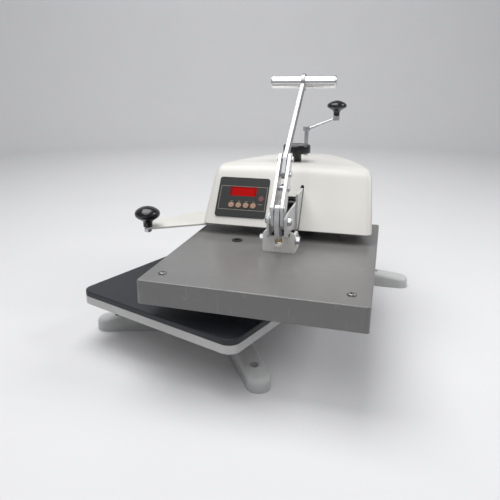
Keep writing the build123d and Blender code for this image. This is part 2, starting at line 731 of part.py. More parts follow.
# Crank knob: a stem that flares into a mushroom
with BuildPart() as crank_knob:
    with BuildSketch(side(CRANK, CRANK_REACH)):
        with BuildLine():
            Polyline((0, CRANK_KNOB_Z), (CRANK_KNOB_STEM_R, CRANK_KNOB_Z))
            Line((CRANK_KNOB_STEM_R, CRANK_KNOB_Z), (CRANK_KNOB_STEM_R, CRANK_KNOB_Z + CRANK_KNOB_H * 0.3))
            Spline(
                (CRANK_KNOB_STEM_R, CRANK_KNOB_Z + CRANK_KNOB_H * 0.3),
                (CRANK_KNOB_R, CRANK_KNOB_Z + CRANK_KNOB_H * 0.63),
                (0, CRANK_KNOB_Z + CRANK_KNOB_H),
                tangents=((0, 1), (-1, 0)),
            )
            Line((0, CRANK_KNOB_Z + CRANK_KNOB_H), (0, CRANK_KNOB_Z))
        make_face()
    revolve(axis=Axis(side(CRANK, CRANK_REACH).origin, UP))
    with BuildSketch(level(CRANK, CRANK_KNOB_Z)):
        with Locations((CRANK_REACH, 0)):
            Circle(CRANK_BOLT_R + SLIDING_FIT)
    extrude(amount=CRANK_BOLT_TOP - CRANK_KNOB_Z + KNOB_PLAY, mode=Mode.SUBTRACT)
crank_knob.part.label = "crank_knob"
export_step(crank_knob.part, "parts/crank_knob.step")

# Swing hub: a tube that turns on the sleeve, with the lug that the arm bolts to
LUG_BOLTS = [
    (LUG_MID_Y + back, DECK_TOP + up)
    for back in (-LUG_BOLT_OUT, LUG_BOLT_OUT)
    for up in (LUG_BOLT_LOW, LUG_BOLT_HIGH)
]
BLOCK_BOLTS = [
    (ROD_Y + back, DECK_TOP + up)
    for back in (-BLOCK_BOLT_OUT, BLOCK_BOLT_OUT)
    for up in (BLOCK_BOLT_LOW, GUIDE_BLOCK_H - BLOCK_BOLT_LOW)
]
STOP_BOLTS = [
    (STOP_Y + back, STOP_BLOCK_TOP - STOP_BLOCK_H / 2) for back in (-STOP_BOLT_OUT, STOP_BOLT_OUT)
]
with BuildPart() as swing_hub:
    with BuildSketch(level(AXIS, HUB_BOTTOM)):
        Circle(HUB_R)
    extrude(amount=HUB_TOP - HUB_BOTTOM)
    with BuildSketch(side(HEAD, ARM_IN_LEFT)):
        with Locations((LUG_FRONT_Y, DECK_TOP)):
            Rectangle(AXIS_BEHIND - LUG_FRONT_Y, LUG_H, align=(Align.MIN, Align.MIN))
    extrude(amount=ARM_IN_RIGHT - ARM_IN_LEFT)
    with BuildSketch(level(AXIS, HUB_BOTTOM)):
        Circle(SLEEVE_R + SLIDING_FIT)
    extrude(amount=HUB_TOP - HUB_BOTTOM, mode=Mode.SUBTRACT)
    with BuildSketch(side(HEAD, ARM_IN_LEFT)):
        with Locations(*LUG_BOLTS):
            Circle(THROUGH_BOLT_R)
    extrude(amount=ARM_IN_RIGHT - ARM_IN_LEFT, mode=Mode.SUBTRACT)
swing_hub.part.label = "swing_hub"
export_step(swing_hub.part, "parts/swing_hub.step")

# Arm plates, one on each side of the lug, with the lever's pivot in their nose and a
# cheek on the outer face of each that stands upright where the plate leaves the cover
NOSE_R = PIVOT_Y - ARM_FRONT_Y
CHEEKS = (ARM_LEFT - CHEEK_T, ARM_RIGHT)
with BuildPart() as arm_plates:
    for plate_x in (ARM_LEFT, ARM_IN_RIGHT):
        with BuildSketch(side(HEAD, plate_x)):
            with BuildLine():
                FilletPolyline(
                    (ARM_FRONT_Y, ARM_LOW),
                    (ARM_FRONT_Y, PIVOT_Z + NOSE_R),
                    (ARM_RISE_Y, PIVOT_Z + NOSE_R),
                    (ARM_SHOULDER_Y, ARM_TOP),
                    (ARM_BACK_Y, ARM_TOP),
                    (ARM_BACK_Y, DECK_TOP),
                    (COVER_FRONT_Y + ARM_LOW_RISE, DECK_TOP),
                    (COVER_FRONT_Y, ARM_LOW),
                    radius=[5, NOSE_R - 0.1, 8, 8, 5, 0, 5, 5],
                    close=True,
                )
            make_face()
            with Locations(*LUG_BOLTS, *BLOCK_BOLTS, *STOP_BOLTS):
                Circle(THROUGH_BOLT_R, mode=Mode.SUBTRACT)
            with Locations((PIVOT_Y, PIVOT_Z)):
                Circle(PIVOT_R, mode=Mode.SUBTRACT)
        extrude(amount=ARM_T)
    for cheek_x in CHEEKS:
        with BuildSketch(side(HEAD, cheek_x)):
            Polygon(
                (CHEEK_FRONT_Y, DECK_TOP + CHEEK_LOW_RISE),
                (CHEEK_FRONT_Y + CHEEK_FOOT_D, DECK_TOP + CHEEK_LOW_RISE),
                (CHEEK_FRONT_Y + CHEEK_HEAD_D, DECK_TOP + CHEEK_TOP_RISE),
                (CHEEK_FRONT_Y, DECK_TOP + CHEEK_TOP_RISE),
                align=None,
            )
        extrude(amount=CHEEK_T)
arm_plates.part.label = "arm_plates"
export_step(arm_plates.part, "parts/arm_plates.step")

# Bolts through the arm: lug, guide blocks and stop block, each with its head and nut
BLOCK_LEFT = ARM_LEFT - GUIDE_BLOCK_W
BLOCK_RIGHT = ARM_RIGHT + GUIDE_BLOCK_W
with BuildPart() as arm_bolts:
    for spots, left, right in (
        (LUG_BOLTS + STOP_BOLTS, ARM_LEFT, ARM_RIGHT),
        (BLOCK_BOLTS, BLOCK_LEFT, BLOCK_RIGHT),
    ):
        with BuildSketch(side(HEAD, left)):
            with Locations(*spots):
                Circle(THROUGH_BOLT_R)
        extrude(amount=right - left)
        with BuildSketch(side(HEAD, left)):
            with Locations(*spots):
                RegularPolygon(radius=THROUGH_HEAD_R, side_count=6)
        extrude(amount=-THROUGH_HEAD_T)
        with BuildSketch(side(HEAD, right)):
            with Locations(*spots):
                RegularPolygon(radius=THROUGH_HEAD_R, side_count=6)
        extrude(amount=THROUGH_HEAD_T)
arm_bolts.part.label = "arm_bolts"
export_step(arm_bolts.part, "parts/arm_bolts.step")

# Guide blocks on the outer faces of the arm plates
RODS = [(LINK_X - ROD_OUT, ROD_Y), (LINK_X + ROD_OUT, ROD_Y)]
with BuildPart() as guide_blocks:
    for block_x in (BLOCK_LEFT, ARM_RIGHT):
        with BuildSketch(side(HEAD, block_x)):
            with Locations((ROD_Y, DECK_TOP)):
                Rectangle(GUIDE_BLOCK_D, GUIDE_BLOCK_H, align=(Align.CENTER, Align.MIN))
            with Locations(*BLOCK_BOLTS):
                Circle(THROUGH_BOLT_R, mode=Mode.SUBTRACT)
        extrude(amount=GUIDE_BLOCK_W)
    with BuildSketch(level(HEAD, DECK_TOP)):
        with Locations(*RODS):
            Circle(BUSH_R)
    extrude(amount=GUIDE_BLOCK_H, mode=Mode.SUBTRACT)
guide_blocks.part.label = "guide_blocks"
export_step(guide_blocks.part, "parts/guide_blocks.step")

# Bronze bushes in the guide blocks
with BuildPart() as guide_bushes:
    with BuildSketch(level(HEAD, DECK_TOP)):
        with Locations(*RODS):
            Circle(BUSH_R)
            Circle(ROD_R + SLIDING_FIT, mode=Mode.SUBTRACT)
    extrude(amount=GUIDE_BLOCK_H)
guide_bushes.part.label = "guide_bushes"
export_step(guide_bushes.part, "parts/guide_bushes.step")

# Block between the arm plates that the stop screw turns in
with BuildPart() as stop_block:
    with BuildSketch(side(HEAD, ARM_IN_LEFT)):
        with Locations((STOP_Y, STOP_BLOCK_TOP)):
            Rectangle(STOP_BLOCK_D, STOP_BLOCK_H, align=(Align.CENTER, Align.MAX))
        with Locations(*STOP_BOLTS):
            Circle(THROUGH_BOLT_R, mode=Mode.SUBTRACT)
    extrude(amount=ARM_IN_RIGHT - ARM_IN_LEFT)
    with BuildSketch(level(HEAD, STOP_BLOCK_TOP - STOP_BLOCK_H)):
        with Locations((STOP_X, STOP_Y)):
            Circle(STOP_R + SLIDING_FIT)
    extrude(amount=STOP_BLOCK_H, mode=Mode.SUBTRACT)
stop_block.part.label = "stop_block"
export_step(stop_block.part, "parts/stop_block.step")

# Deck: the chassis sheet under the cover, with the swing wing to the left
DECK_SCREWS = [(x, y) for x, _ in RODS for y in (ROD_Y - DECK_SCREW_OUT, ROD_Y + DECK_SCREW_OUT)]
DECK_SCREWS += [(LINK_X, LUG_MID_Y)]
TAB_YS = (COVER_FRONT_Y + TAB_BEHIND, COVER_MID_Y + TAB_BEHIND)


def cover_outline():
    """Draw the line round the cover's foot."""
    Line((-COVER_FRONT_HALF, COVER_FRONT_Y), (COVER_FRONT_HALF, COVER_FRONT_Y))
    ThreePointArc(
        (COVER_FRONT_HALF, COVER_FRONT_Y),
        (COVER_MID_HALF, COVER_MID_Y),
        (COVER_REAR_HALF, COVER_REAR_Y),
    )
    Line((COVER_REAR_HALF, COVER_REAR_Y), (-COVER_REAR_HALF, COVER_REAR_Y))
    ThreePointArc(
        (-COVER_REAR_HALF, COVER_REAR_Y),
        (-COVER_MID_HALF, COVER_MID_Y),
        (-COVER_FRONT_HALF, COVER_FRONT_Y),
    )


with BuildPart() as chassis_plate:
    with BuildSketch(level(HEAD, DECK_Z)):
        with BuildLine():
            cover_outline()
        make_face()
        offset(amount=-DECK_INSET)
        with BuildLine():
            FilletPolyline(
                WING_FRONT,
                WING_FRONT_ROOT,
                WING_FRONT_END,
                WING_REAR_END,
                WING_REAR_ROOT,
                WING_REAR,
                radius=[WING_ROUND, 0, 0, 0, 0, WING_ROUND],
                close=True,
            )
        make_face()
        with Locations((0, AXIS_BEHIND)):
            Circle(HUB_R + 3, mode=Mode.SUBTRACT)
        with Locations(*RODS):
            Circle(ROD_R + 2, mode=Mode.SUBTRACT)
        with Locations((STOP_X, STOP_Y)):
            Circle(STOP_FOOT_R + 3, mode=Mode.SUBTRACT)
        with Locations(*DECK_SCREWS):
            Circle(SCREW_R - 1, mode=Mode.SUBTRACT)
        with Locations((WING_KNOB_X, WING_KNOB_Y)):
            Circle(SWING_STUD_R, mode=Mode.SUBTRACT)
    extrude(amount=DECK_T)
    for hand in (-1, 1):
        for tab_y in TAB_YS:
            with BuildSketch(cover_side(hand, tab_y, COVER_WALL + TAB_GAP, DECK_Z)):
                with Locations((0, TAB_H / 2)):
                    Rectangle(TAB_W, TAB_H)
            extrude(amount=-DECK_T)
            with BuildSketch(cover_side(hand, tab_y, COVER_WALL + TAB_GAP, DECK_Z)):
                with Locations((0, DECK_T / 2)):
                    Rectangle(TAB_W, DECK_T)
            extrude(amount=-DECK_INSET - TAB_W / 2)
chassis_plate.part.label = "chassis_plate"
export_step(chassis_plate.part, "parts/chassis_plate.step")

# Swing knob on the wing: a stem that spreads into a mushroom
SWING_KNOB_TOP = DECK_TOP + SWING_KNOB_H
SWING_KNOB_WIDE = DECK_TOP + SWING_KNOB_H * 0.65
WING_SPOT = side(HEAD, WING_KNOB_X)
with BuildPart() as swing_knob:
    with BuildSketch(WING_SPOT):
        with BuildLine():
            Polyline(
                (WING_KNOB_Y, DECK_TOP),
                (WING_KNOB_Y + SWING_KNOB_STEM_R, DECK_TOP),
                (WING_KNOB_Y + SWING_KNOB_STEM_R, DECK_TOP + SWING_KNOB_STEM_H),
            )
            Spline(
                (WING_KNOB_Y + SWING_KNOB_STEM_R, DECK_TOP + SWING_KNOB_STEM_H),
                (WING_KNOB_Y + SWING_KNOB_R, SWING_KNOB_WIDE),
                (WING_KNOB_Y, SWING_KNOB_TOP),
                tangents=((1, 0.4), (-1, 0)),
            )
            Line((WING_KNOB_Y, SWING_KNOB_TOP), (WING_KNOB_Y, DECK_TOP))
        make_face()
    revolve(axis=Axis(HEAD.from_local_coords((WING_KNOB_X, WING_KNOB_Y, 0)), UP))
    with BuildSketch(level(HEAD, DECK_TOP)):
        with Locations((WING_KNOB_X, WING_KNOB_Y)):
            Circle(SWING_STUD_R)
    extrude(amount=SWING_KNOB_H / 2, mode=Mode.SUBTRACT)
swing_knob.part.label = "swing_knob"
export_step(swing_knob.part, "parts/swing_knob.step")

# Stud of the swing knob with its nut under the wing
with BuildPart() as swing_stud:
    with BuildSketch(level(HEAD, DECK_Z)):
        with Locations((WING_KNOB_X, WING_KNOB_Y)):
            RegularPolygon(radius=1.9 * SWING_STUD_R, side_count=6)
    extrude(amount=-1.4 * SWING_STUD_R)
    with BuildSketch(level(HEAD, DECK_Z - 1.8 * SWING_STUD_R)):
        with Locations((WING_KNOB_X, WING_KNOB_Y)):
            Circle(SWING_STUD_R)
    extrude(amount=1.8 * SWING_STUD_R + DECK_T + SWING_KNOB_H / 2)
swing_stud.part.label = "swing_stud"
export_step(swing_stud.part, "parts/swing_stud.step")

# Cover: curved sides, a front that leans back, and a gently falling top
BREAK_RISE = (COVER_TOP_RISE + COVER_TOP_FALL * (COVER_TOP_Y - COVER_FRONT_Y)) / (
    1 + COVER_TOP_FALL * COVER_LEAN
)
COVER_BREAK = (0, COVER_FRONT_Y + COVER_LEAN * BREAK_RISE, COVER_Z + BREAK_RISE)
COVER_TOP_Z = COVER_Z + COVER_TOP_RISE
COVER_BACK_Z = COVER_TOP_Z - COVER_TOP_FALL * (COVER_REAR_Y - COVER_TOP_Y)
FACE_UP = (HEAD_Y * COVER_LEAN + UP).normalized()
FACE = Plane(
    origin=HEAD.from_local_coords((0, COVER_FRONT_Y, COVER_Z)),
    x_dir=HEAD_X,
    z_dir=HEAD_X.cross(FACE_UP),
)


def cover_form(inset):
    """The solid inside the cover's outer surface, moved inwards by an inset."""
    below = 2 * COVER_WALL
    with BuildPart() as form:
        with BuildSketch(level(HEAD, COVER_Z)):
            with BuildLine():
                cover_outline()
            make_face()
            if inset:
                offset(amount=-inset)
        extrude(amount=COVER_TOP_RISE + COVER_EDGE_R)
        with BuildSketch(side(HEAD, 0)):
            Polygon(
                (COVER_FRONT_Y - COVER_LEAN * below, COVER_Z - below),
                COVER_BREAK[1:],
                (COVER_REAR_Y, COVER_BACK_Z),
                (COVER_REAR_Y, COVER_Z - below),
                align=None,
            )
            if inset:
                offset(amount=-inset, kind=Kind.INTERSECTION)
        extrude(amount=COVER_FRONT_HALF + 1, both=True, mode=Mode.INTERSECT)
        across = form.edges().filter_by(lambda edge: abs(edge.tangent_at(0.5).dot(HEAD_X)) > 0.999)
        fillet(across.sort_by_distance(HEAD.from_local_coords(COVER_BREAK))[0], COVER_BEND_R - inset)
        fillet(form.edges().filter_by(Axis.Z), COVER_EDGE_R - inset)
        crown = form.faces().sort_by(Axis.Z)[-1].edges()
        rim = crown.filter_by(lambda edge: abs(edge.tangent_at(0.5).dot(HEAD_X)) < 0.999)
        fillet(rim, COVER_EDGE_R - inset)
    return form.part


# Places on the cover for the panel, the controls and the screws in its sides
PANEL_X = PANEL_LEFT + PANEL_W / 2
PANEL_S = PANEL_LOW + PANEL_H / 2
INLET_SPOT = cover_side(-1, INLET_Y, 0, DECK_TOP + REAR_CONTROL_RISE)
SWITCH_SPOT = cover_side(-1, ROCKER_Y, 0, DECK_TOP + REAR_CONTROL_RISE)
COVER_SCREW_Z = DECK_Z + TAB_H * 0.65
COVER_SCREW_R = 2.0
with BuildPart() as cover_shell:
    add(cover_form(0))
    add(cover_form(COVER_WALL), mode=Mode.SUBTRACT)
    with BuildSketch(front(HEAD, 0)):
        with Locations((LINK_X, COVER_Z)):
            Rectangle(
                ARM_RIGHT - ARM_LEFT + 2 * COVER_SLOT_MARGIN,
                COVER_SLOT_RISE,
                align=(Align.CENTER, Align.MIN),
            )
        with Locations(*[(cheek_x + CHEEK_T / 2, COVER_Z) for cheek_x in CHEEKS]):
            Rectangle(CHEEK_SLOT_W, CHEEK_SLOT_RISE, align=(Align.CENTER, Align.MIN))
        with Locations(*[(cheek_x + CHEEK_T / 2, COVER_Z + CHEEK_SLOT_RISE) for cheek_x in CHEEKS]):
            Circle(CHEEK_SLOT_W / 2)
    extrude(amount=-COVER_TOP_Y, mode=Mode.SUBTRACT)
    with BuildSketch(level(HEAD, ARM_TOP)):
        with Locations((STOP_X, STOP_Y)):
            Circle(STOP_KNOB_STEM_R + STEM_PLAY)
        with Locations((0, AXIS_BEHIND)):
            Circle(SHAFT_R + STEM_PLAY)
    extrude(amount=COVER_TOP_RISE, mode=Mode.SUBTRACT)
    with BuildSketch(FACE):
        with Locations((PANEL_X, PANEL_S)):
            Rectangle(PANEL_W - 2 * PANEL_LEDGE, PANEL_H - 2 * PANEL_LEDGE)
    extrude(amount=-2 * COVER_WALL, mode=Mode.SUBTRACT)
    with BuildSketch(INLET_SPOT):
        Rectangle(INLET_W - 6 * CONTROL_LIP, INLET_H - 2 * CONTROL_LIP)
    extrude(amount=-2 * COVER_WALL, mode=Mode.SUBTRACT)
    with BuildSketch(SWITCH_SPOT):
        Rectangle(SWITCH_W - 2 * CONTROL_LIP, SWITCH_H - 2 * CONTROL_LIP)
    extrude(amount=-2 * COVER_WALL, mode=Mode.SUBTRACT)
    for hand in (-1, 1):
        for tab_y in TAB_YS:
            with BuildSketch(cover_side(hand, tab_y, 0, COVER_SCREW_Z)):
                Circle(COVER_SCREW_R)
            extrude(amount=-2 * COVER_WALL, mode=Mode.SUBTRACT)
cover_shell.part.label = "cover_shell"
export_step(cover_shell.part, "parts/cover_shell.step")

# Screws up through the deck into the arm, and button heads through the cover into its tabs
with BuildPart() as head_screws:
    with BuildSketch(level(HEAD, DECK_Z)):
        with Locations(*DECK_SCREWS):
            Circle(SCREW_HEAD_R - 2)
    extrude(amount=-SCREW_HEAD_T)
    with BuildSketch(level(HEAD, DECK_Z)):
        with Locations(*DECK_SCREWS):
            Circle(SCREW_R - 1)
    extrude(amount=DECK_T)
    for hand in (-1, 1):
        for tab_y in TAB_YS:
            with BuildSketch(cover_side(hand, tab_y, 0, COVER_SCREW_Z)):
                Circle(COVER_SCREW_R)
            extrude(amount=-COVER_WALL)
            with BuildSketch(cover_side(hand, tab_y, 0, COVER_SCREW_Z)):
                Circle(2 * COVER_SCREW_R)
            extrude(amount=COVER_SCREW_R)
head_screws.part.label = "head_screws"
export_step(head_screws.part, "parts/head_screws.step")

# Control panel: bezel with openings for the display, the lamp and the buttons
BUTTONS = [(BUTTON_X + BUTTON_PITCH * turn, BUTTON_S) for turn in range(BUTTON_COUNT)]
with BuildPart() as panel_bezel:
    with BuildSketch(FACE):
        with Locations((PANEL_X, PANEL_S)):
            RectangleRounded(PANEL_W, PANEL_H, PANEL_CORNER_R)
        with Locations((DISPLAY_X, DISPLAY_S)):
            Rectangle(DISPLAY_W, DISPLAY_H, mode=Mode.SUBTRACT)
        with Locations(*BUTTONS):
            Circle(BUTTON_R + BUTTON_PLAY, mode=Mode.SUBTRACT)
        with Locations((LAMP_X, LAMP_S)):
            Circle(LAMP_R, mode=Mode.SUBTRACT)
    extrude(amount=PANEL_T)
panel_bezel.part.label = "panel_bezel"
export_step(panel_bezel.part, "parts/panel_bezel.step")

# Window of the display
with BuildPart() as display_window:
    with BuildSketch(FACE):
        with Locations((DISPLAY_X, DISPLAY_S)):
            Rectangle(DISPLAY_W, DISPLAY_H)
    extrude(amount=PANEL_T * 0.8)
display_window.part.label = "display_window"
export_step(display_window.part, "parts/display_window.step")

# Lens of the status lamp
with BuildPart() as status_lamp:
    with BuildSketch(FACE):
        with Locations((LAMP_X, LAMP_S)):
            Circle(LAMP_R)
    extrude(amount=PANEL_T * 1.3)
    fillet(status_lamp.edges().sort_by(Axis(FACE.origin, FACE.z_dir))[-1], PANEL_T / 4)
status_lamp.part.label = "status_lamp"
export_step(status_lamp.part, "parts/status_lamp.step")

# Push buttons: a cap, a flange behind the bezel and a stem towards the board
BOARD_DEPTH = 14.0
BOARD_T = 1.6
BUTTON_FLANGE_T = 1.7
BUTTON_SWITCH_H = 4.0
BUTTON_TRAVEL = 1.5
for count, spot in enumerate(BUTTONS, start=1):
    with BuildPart() as button:
        with BuildSketch(FACE.offset(-BUTTON_PLAY - BUTTON_FLANGE_T)):
            with Locations(spot):
                Circle(BUTTON_R + 4 * BUTTON_PLAY)
        extrude(amount=BUTTON_FLANGE_T)
        with BuildSketch(FACE.offset(-BUTTON_PLAY)):
            with Locations(spot):
                Circle(BUTTON_R)
        extrude(amount=BUTTON_PLAY + PANEL_T + BUTTON_PROUD)
        with BuildSketch(FACE.offset(-BUTTON_PLAY - BUTTON_FLANGE_T)):
            with Locations(spot):
                Circle(BUTTON_R / 3)
        extrude(amount=BUTTON_FLANGE_T - BOARD_DEPTH + BUTTON_SWITCH_H + BUTTON_TRAVEL + 2 * BUTTON_PLAY)
        fillet(button.edges().sort_by(Axis(FACE.origin, FACE.z_dir))[-1], BUTTON_PROUD / 2)
    button.part.label = f"button_{count}"
    export_step(button.part, f"parts/button_{count}.step")

# Controller board on four posts, with a switch under each button and the display module
BOARD_W = PANEL_W - 2 * PANEL_LEDGE - 2 * COVER_WALL
BOARD_H = PANEL_H - 2 * PANEL_LEDGE - 2 * COVER_WALL
with BuildPart() as controller_board:
    with BuildSketch(FACE.offset(-BOARD_DEPTH - BOARD_T)):
        with Locations((PANEL_X, PANEL_S)):
            Rectangle(BOARD_W, BOARD_H)
    extrude(amount=BOARD_T)
    with BuildSketch(FACE.offset(-BOARD_DEPTH)):
        with Locations((PANEL_X, PANEL_S)):
            with GridLocations(BOARD_W - 2 * COVER_WALL, BOARD_H - 2 * COVER_WALL, 2, 2):
                Circle(COVER_WALL)
    extrude(amount=BOARD_DEPTH)
    with BuildSketch(FACE.offset(-BOARD_DEPTH)):
        with Locations(*BUTTONS):
            Circle(BUTTON_R / 2)
    extrude(amount=BUTTON_SWITCH_H)
    with BuildSketch(FACE.offset(-BOARD_DEPTH)):
        with Locations((DISPLAY_X, DISPLAY_S)):
            Rectangle(DISPLAY_W, DISPLAY_H - 2 * COVER_WALL)
    extrude(amount=BOARD_DEPTH)
controller_board.part.label = "controller_board"
export_step(controller_board.part, "parts/controller_board.step")

# Solid state relay on the deck, for the heating element
with BuildPart() as power_relay:
    with BuildSketch(level(HEAD, DECK_TOP)):
        with Locations((RELAY_X, RELAY_Y)):
            Rectangle(RELAY_W, RELAY_FOOT_D)
    extrude(amount=RELAY_FOOT_T)
    with BuildSketch(level(HEAD, DECK_TOP + RELAY_FOOT_T)):
        with Locations((RELAY_X, RELAY_Y)):
            Rectangle(RELAY_W, RELAY_D)
    extrude(amount=RELAY_H)
power_relay.part.label = "power_relay"
export_step(power_relay.part, "parts/power_relay.step")

# Power inlet in the left side of the cover: flange, body and three pins in its mouth
with BuildPart() as power_inlet:
    with BuildSketch(INLET_SPOT):
        RectangleRounded(INLET_W, INLET_H, CONTROL_LIP)
    extrude(amount=CONTROL_LIP)
    with BuildSketch(INLET_SPOT):
        Rectangle(INLET_W - 6 * CONTROL_LIP, INLET_H - 2 * CONTROL_LIP)
    extrude(amount=-INLET_DEPTH)
    with BuildSketch(INLET_SPOT.offset(CONTROL_LIP)):
        Rectangle(INLET_W - 8 * CONTROL_LIP, INLET_H - 4 * CONTROL_LIP)
    extrude(amount=-INLET_DEPTH + CONTROL_LIP, mode=Mode.SUBTRACT)
    with BuildSketch(INLET_SPOT.offset(-INLET_DEPTH + CONTROL_LIP)):
        with Locations(
            (-INLET_PIN_PITCH, -INLET_PIN_STEP), (0, INLET_PIN_STEP), (INLET_PIN_PITCH, -INLET_PIN_STEP)
        ):
            Rectangle(INLET_PIN_W, INLET_PIN_H)
    extrude(amount=INLET_DEPTH - CONTROL_LIP)
power_inlet.part.label = "power_inlet"
export_step(power_inlet.part, "parts/power_inlet.step")

# Body of the power switch beside the inlet
with BuildPart() as power_switch:
    with BuildSketch(SWITCH_SPOT):
        RectangleRounded(SWITCH_W, SWITCH_H, CONTROL_LIP / 2)
    extrude(amount=CONTROL_LIP / 2)
    with BuildSketch(SWITCH_SPOT):
        Rectangle(SWITCH_W - 2 * CONTROL_LIP, SWITCH_H - 2 * CONTROL_LIP)
    extrude(amount=-SWITCH_DEPTH)
    with BuildSketch(SWITCH_SPOT.offset(CONTROL_LIP / 2)):
        Rectangle(SWITCH_W - 2.7 * CONTROL_LIP, 2 * ROCKER_R + 2 * BUTTON_PLAY)
    extrude(amount=-ROCKER_DEPTH - ROCKER_R - CONTROL_LIP, mode=Mode.SUBTRACT)
power_switch.part.label = "power_switch"
export_step(power_switch.part, "parts/power_switch.step")

# Rocker of the power switch, tilted to its off stop
ROCKER_SPOT = Plane(
    origin=SWITCH_SPOT.offset(-ROCKER_DEPTH).origin, x_dir=UP, z_dir=UP.cross(SWITCH_SPOT.z_dir)
)
ROCKER_SLOPE = math.tan(math.radians(ROCKER_TILT))
with BuildPart() as power_rocker:
    with BuildSketch(ROCKER_SPOT):
        Circle(ROCKER_R)
        with BuildLine():
            Polyline(
                (-2 * ROCKER_R, ROCKER_DEPTH + ROCKER_PROUD + 2 * ROCKER_R * ROCKER_SLOPE),
                (0, ROCKER_DEPTH + ROCKER_PROUD),
                (2 * ROCKER_R, ROCKER_DEPTH + ROCKER_PROUD - 2 * ROCKER_R * ROCKER_SLOPE),
                (2 * ROCKER_R, 2 * ROCKER_R),
                (-2 * ROCKER_R, 2 * ROCKER_R),
                close=True,
            )
        make_face(mode=Mode.SUBTRACT)
    extrude(amount=SWITCH_W / 2 - 1.5 * CONTROL_LIP, both=True)
power_rocker.part.label = "power_rocker"
export_step(power_rocker.part, "parts/power_rocker.step")

# Main pivot of the lever: a dome-headed bolt through both noses, with its nut and the
# washers that keep the lever off the arm plates
PIVOT_HEAD_R = 8.5
PIVOT_HEAD_T = 7.0
WASHER_PLAY = 0.1
PIVOT = (PIVOT_Y, PIVOT_Z)
with BuildPart() as pivot_bolt:
    with BuildSketch(side(HEAD, ARM_LEFT)):
        with Locations(PIVOT):
            Circle(PIVOT_R)
    extrude(amount=ARM_RIGHT - ARM_LEFT)
    with BuildSketch(side(HEAD, ARM_LEFT)):
        with Locations(PIVOT):
            Circle(PIVOT_HEAD_R)
    extrude(amount=-PIVOT_HEAD_T)
    fillet(pivot_bolt.edges().sort_by(Axis(HEAD.origin, HEAD_X))[0], PIVOT_HEAD_T * 0.7)
    with BuildSketch(side(HEAD, ARM_RIGHT)):
        with Locations(PIVOT):
            RegularPolygon(radius=PIVOT_HEAD_R + 1, side_count=6)
    extrude(amount=PIVOT_HEAD_T)
    for washer_x in (ARM_IN_LEFT, ARM_IN_RIGHT - ARM_WASHER_T + WASHER_PLAY):
        with BuildSketch(side(HEAD, washer_x)):
            with Locations(PIVOT):
                Circle(STRAP_PIVOT_R - 1)
        extrude(amount=ARM_WASHER_T - WASHER_PLAY)
pivot_bolt.part.label = "pivot_bolt"
export_step(pivot_bolt.part, "parts/pivot_bolt.step")

# Lever straps: they turn on the pivot, carry the link's pin and clasp the bar
STRAP_TOP = (STRAP_TOP_Y, STRAP_TOP_Z)
PIN = (PIN_Y, PIN_Z)
STRAP_RUN = Vector(STRAP_TOP_Y - PIVOT_Y, STRAP_TOP_Z - PIVOT_Z)
BAR_BOLTS = [
    (STRAP_TOP_Y - STRAP_RUN.X * down, STRAP_TOP_Z - STRAP_RUN.Y * down) for down in (0, BAR_BOLT_DOWN)
]
STRAP_SPACER = (STRAP_TOP_Y - STRAP_RUN.X * SPACER_DOWN, STRAP_TOP_Z - STRAP_RUN.Y * SPACER_DOWN)
with BuildPart() as lever_straps:
    for strap_x in STRAP_SIDES:
        with BuildSketch(side(HEAD, strap_x)):
            with Locations(PIVOT):
                Circle(STRAP_PIVOT_R)
            with Locations(PIN):
                Circle(STRAP_PIN_R)
            with Locations(STRAP_TOP):
                Circle(STRAP_TOP_R)
            make_hull()
            with Locations(PIVOT):
                Circle(PIVOT_R + SLIDING_FIT, mode=Mode.SUBTRACT)
            with Locations(PIN):
                Circle(PIN_R, mode=Mode.SUBTRACT)
            with Locations(*BAR_BOLTS, STRAP_SPACER):
                Circle(BAR_BOLT_R, mode=Mode.SUBTRACT)
        extrude(amount=STRAP_T)
lever_straps.part.label = "lever_straps"
export_step(lever_straps.part, "parts/lever_straps.step")

# Lever bar: from between the straps it leans back to an eye round the grip tube
GRIP_TO_STRAP = Vector(GRIP_Y - STRAP_TOP_Y, GRIP_Z - STRAP_TOP_Z)
BAR_FOOT = Vector(*BAR_BOLTS[1])
with BuildPart() as lever_bar:
    with BuildSketch(side(HEAD, LINK_X - BAR_T / 2)):
        for start, end in ((BAR_FOOT, Vector(*STRAP_TOP)), (Vector(*STRAP_TOP), Vector(GRIP_Y, GRIP_Z))):
            run = end - start
            with Locations((start + end) * 0.5):
                SlotCenterToCenter(run.length, BAR_W, rotation=math.degrees(math.atan2(run.Y, run.X)))
        with Locations((GRIP_Y, GRIP_Z)):
            Circle(GRIP_R + BAR_W / 4)
            Circle(GRIP_R, mode=Mode.SUBTRACT)
        with Locations(*BAR_BOLTS):
            Circle(BAR_BOLT_R, mode=Mode.SUBTRACT)
    extrude(amount=BAR_T)
lever_bar.part.label = "lever_bar"
export_step(lever_bar.part, "parts/lever_bar.step")

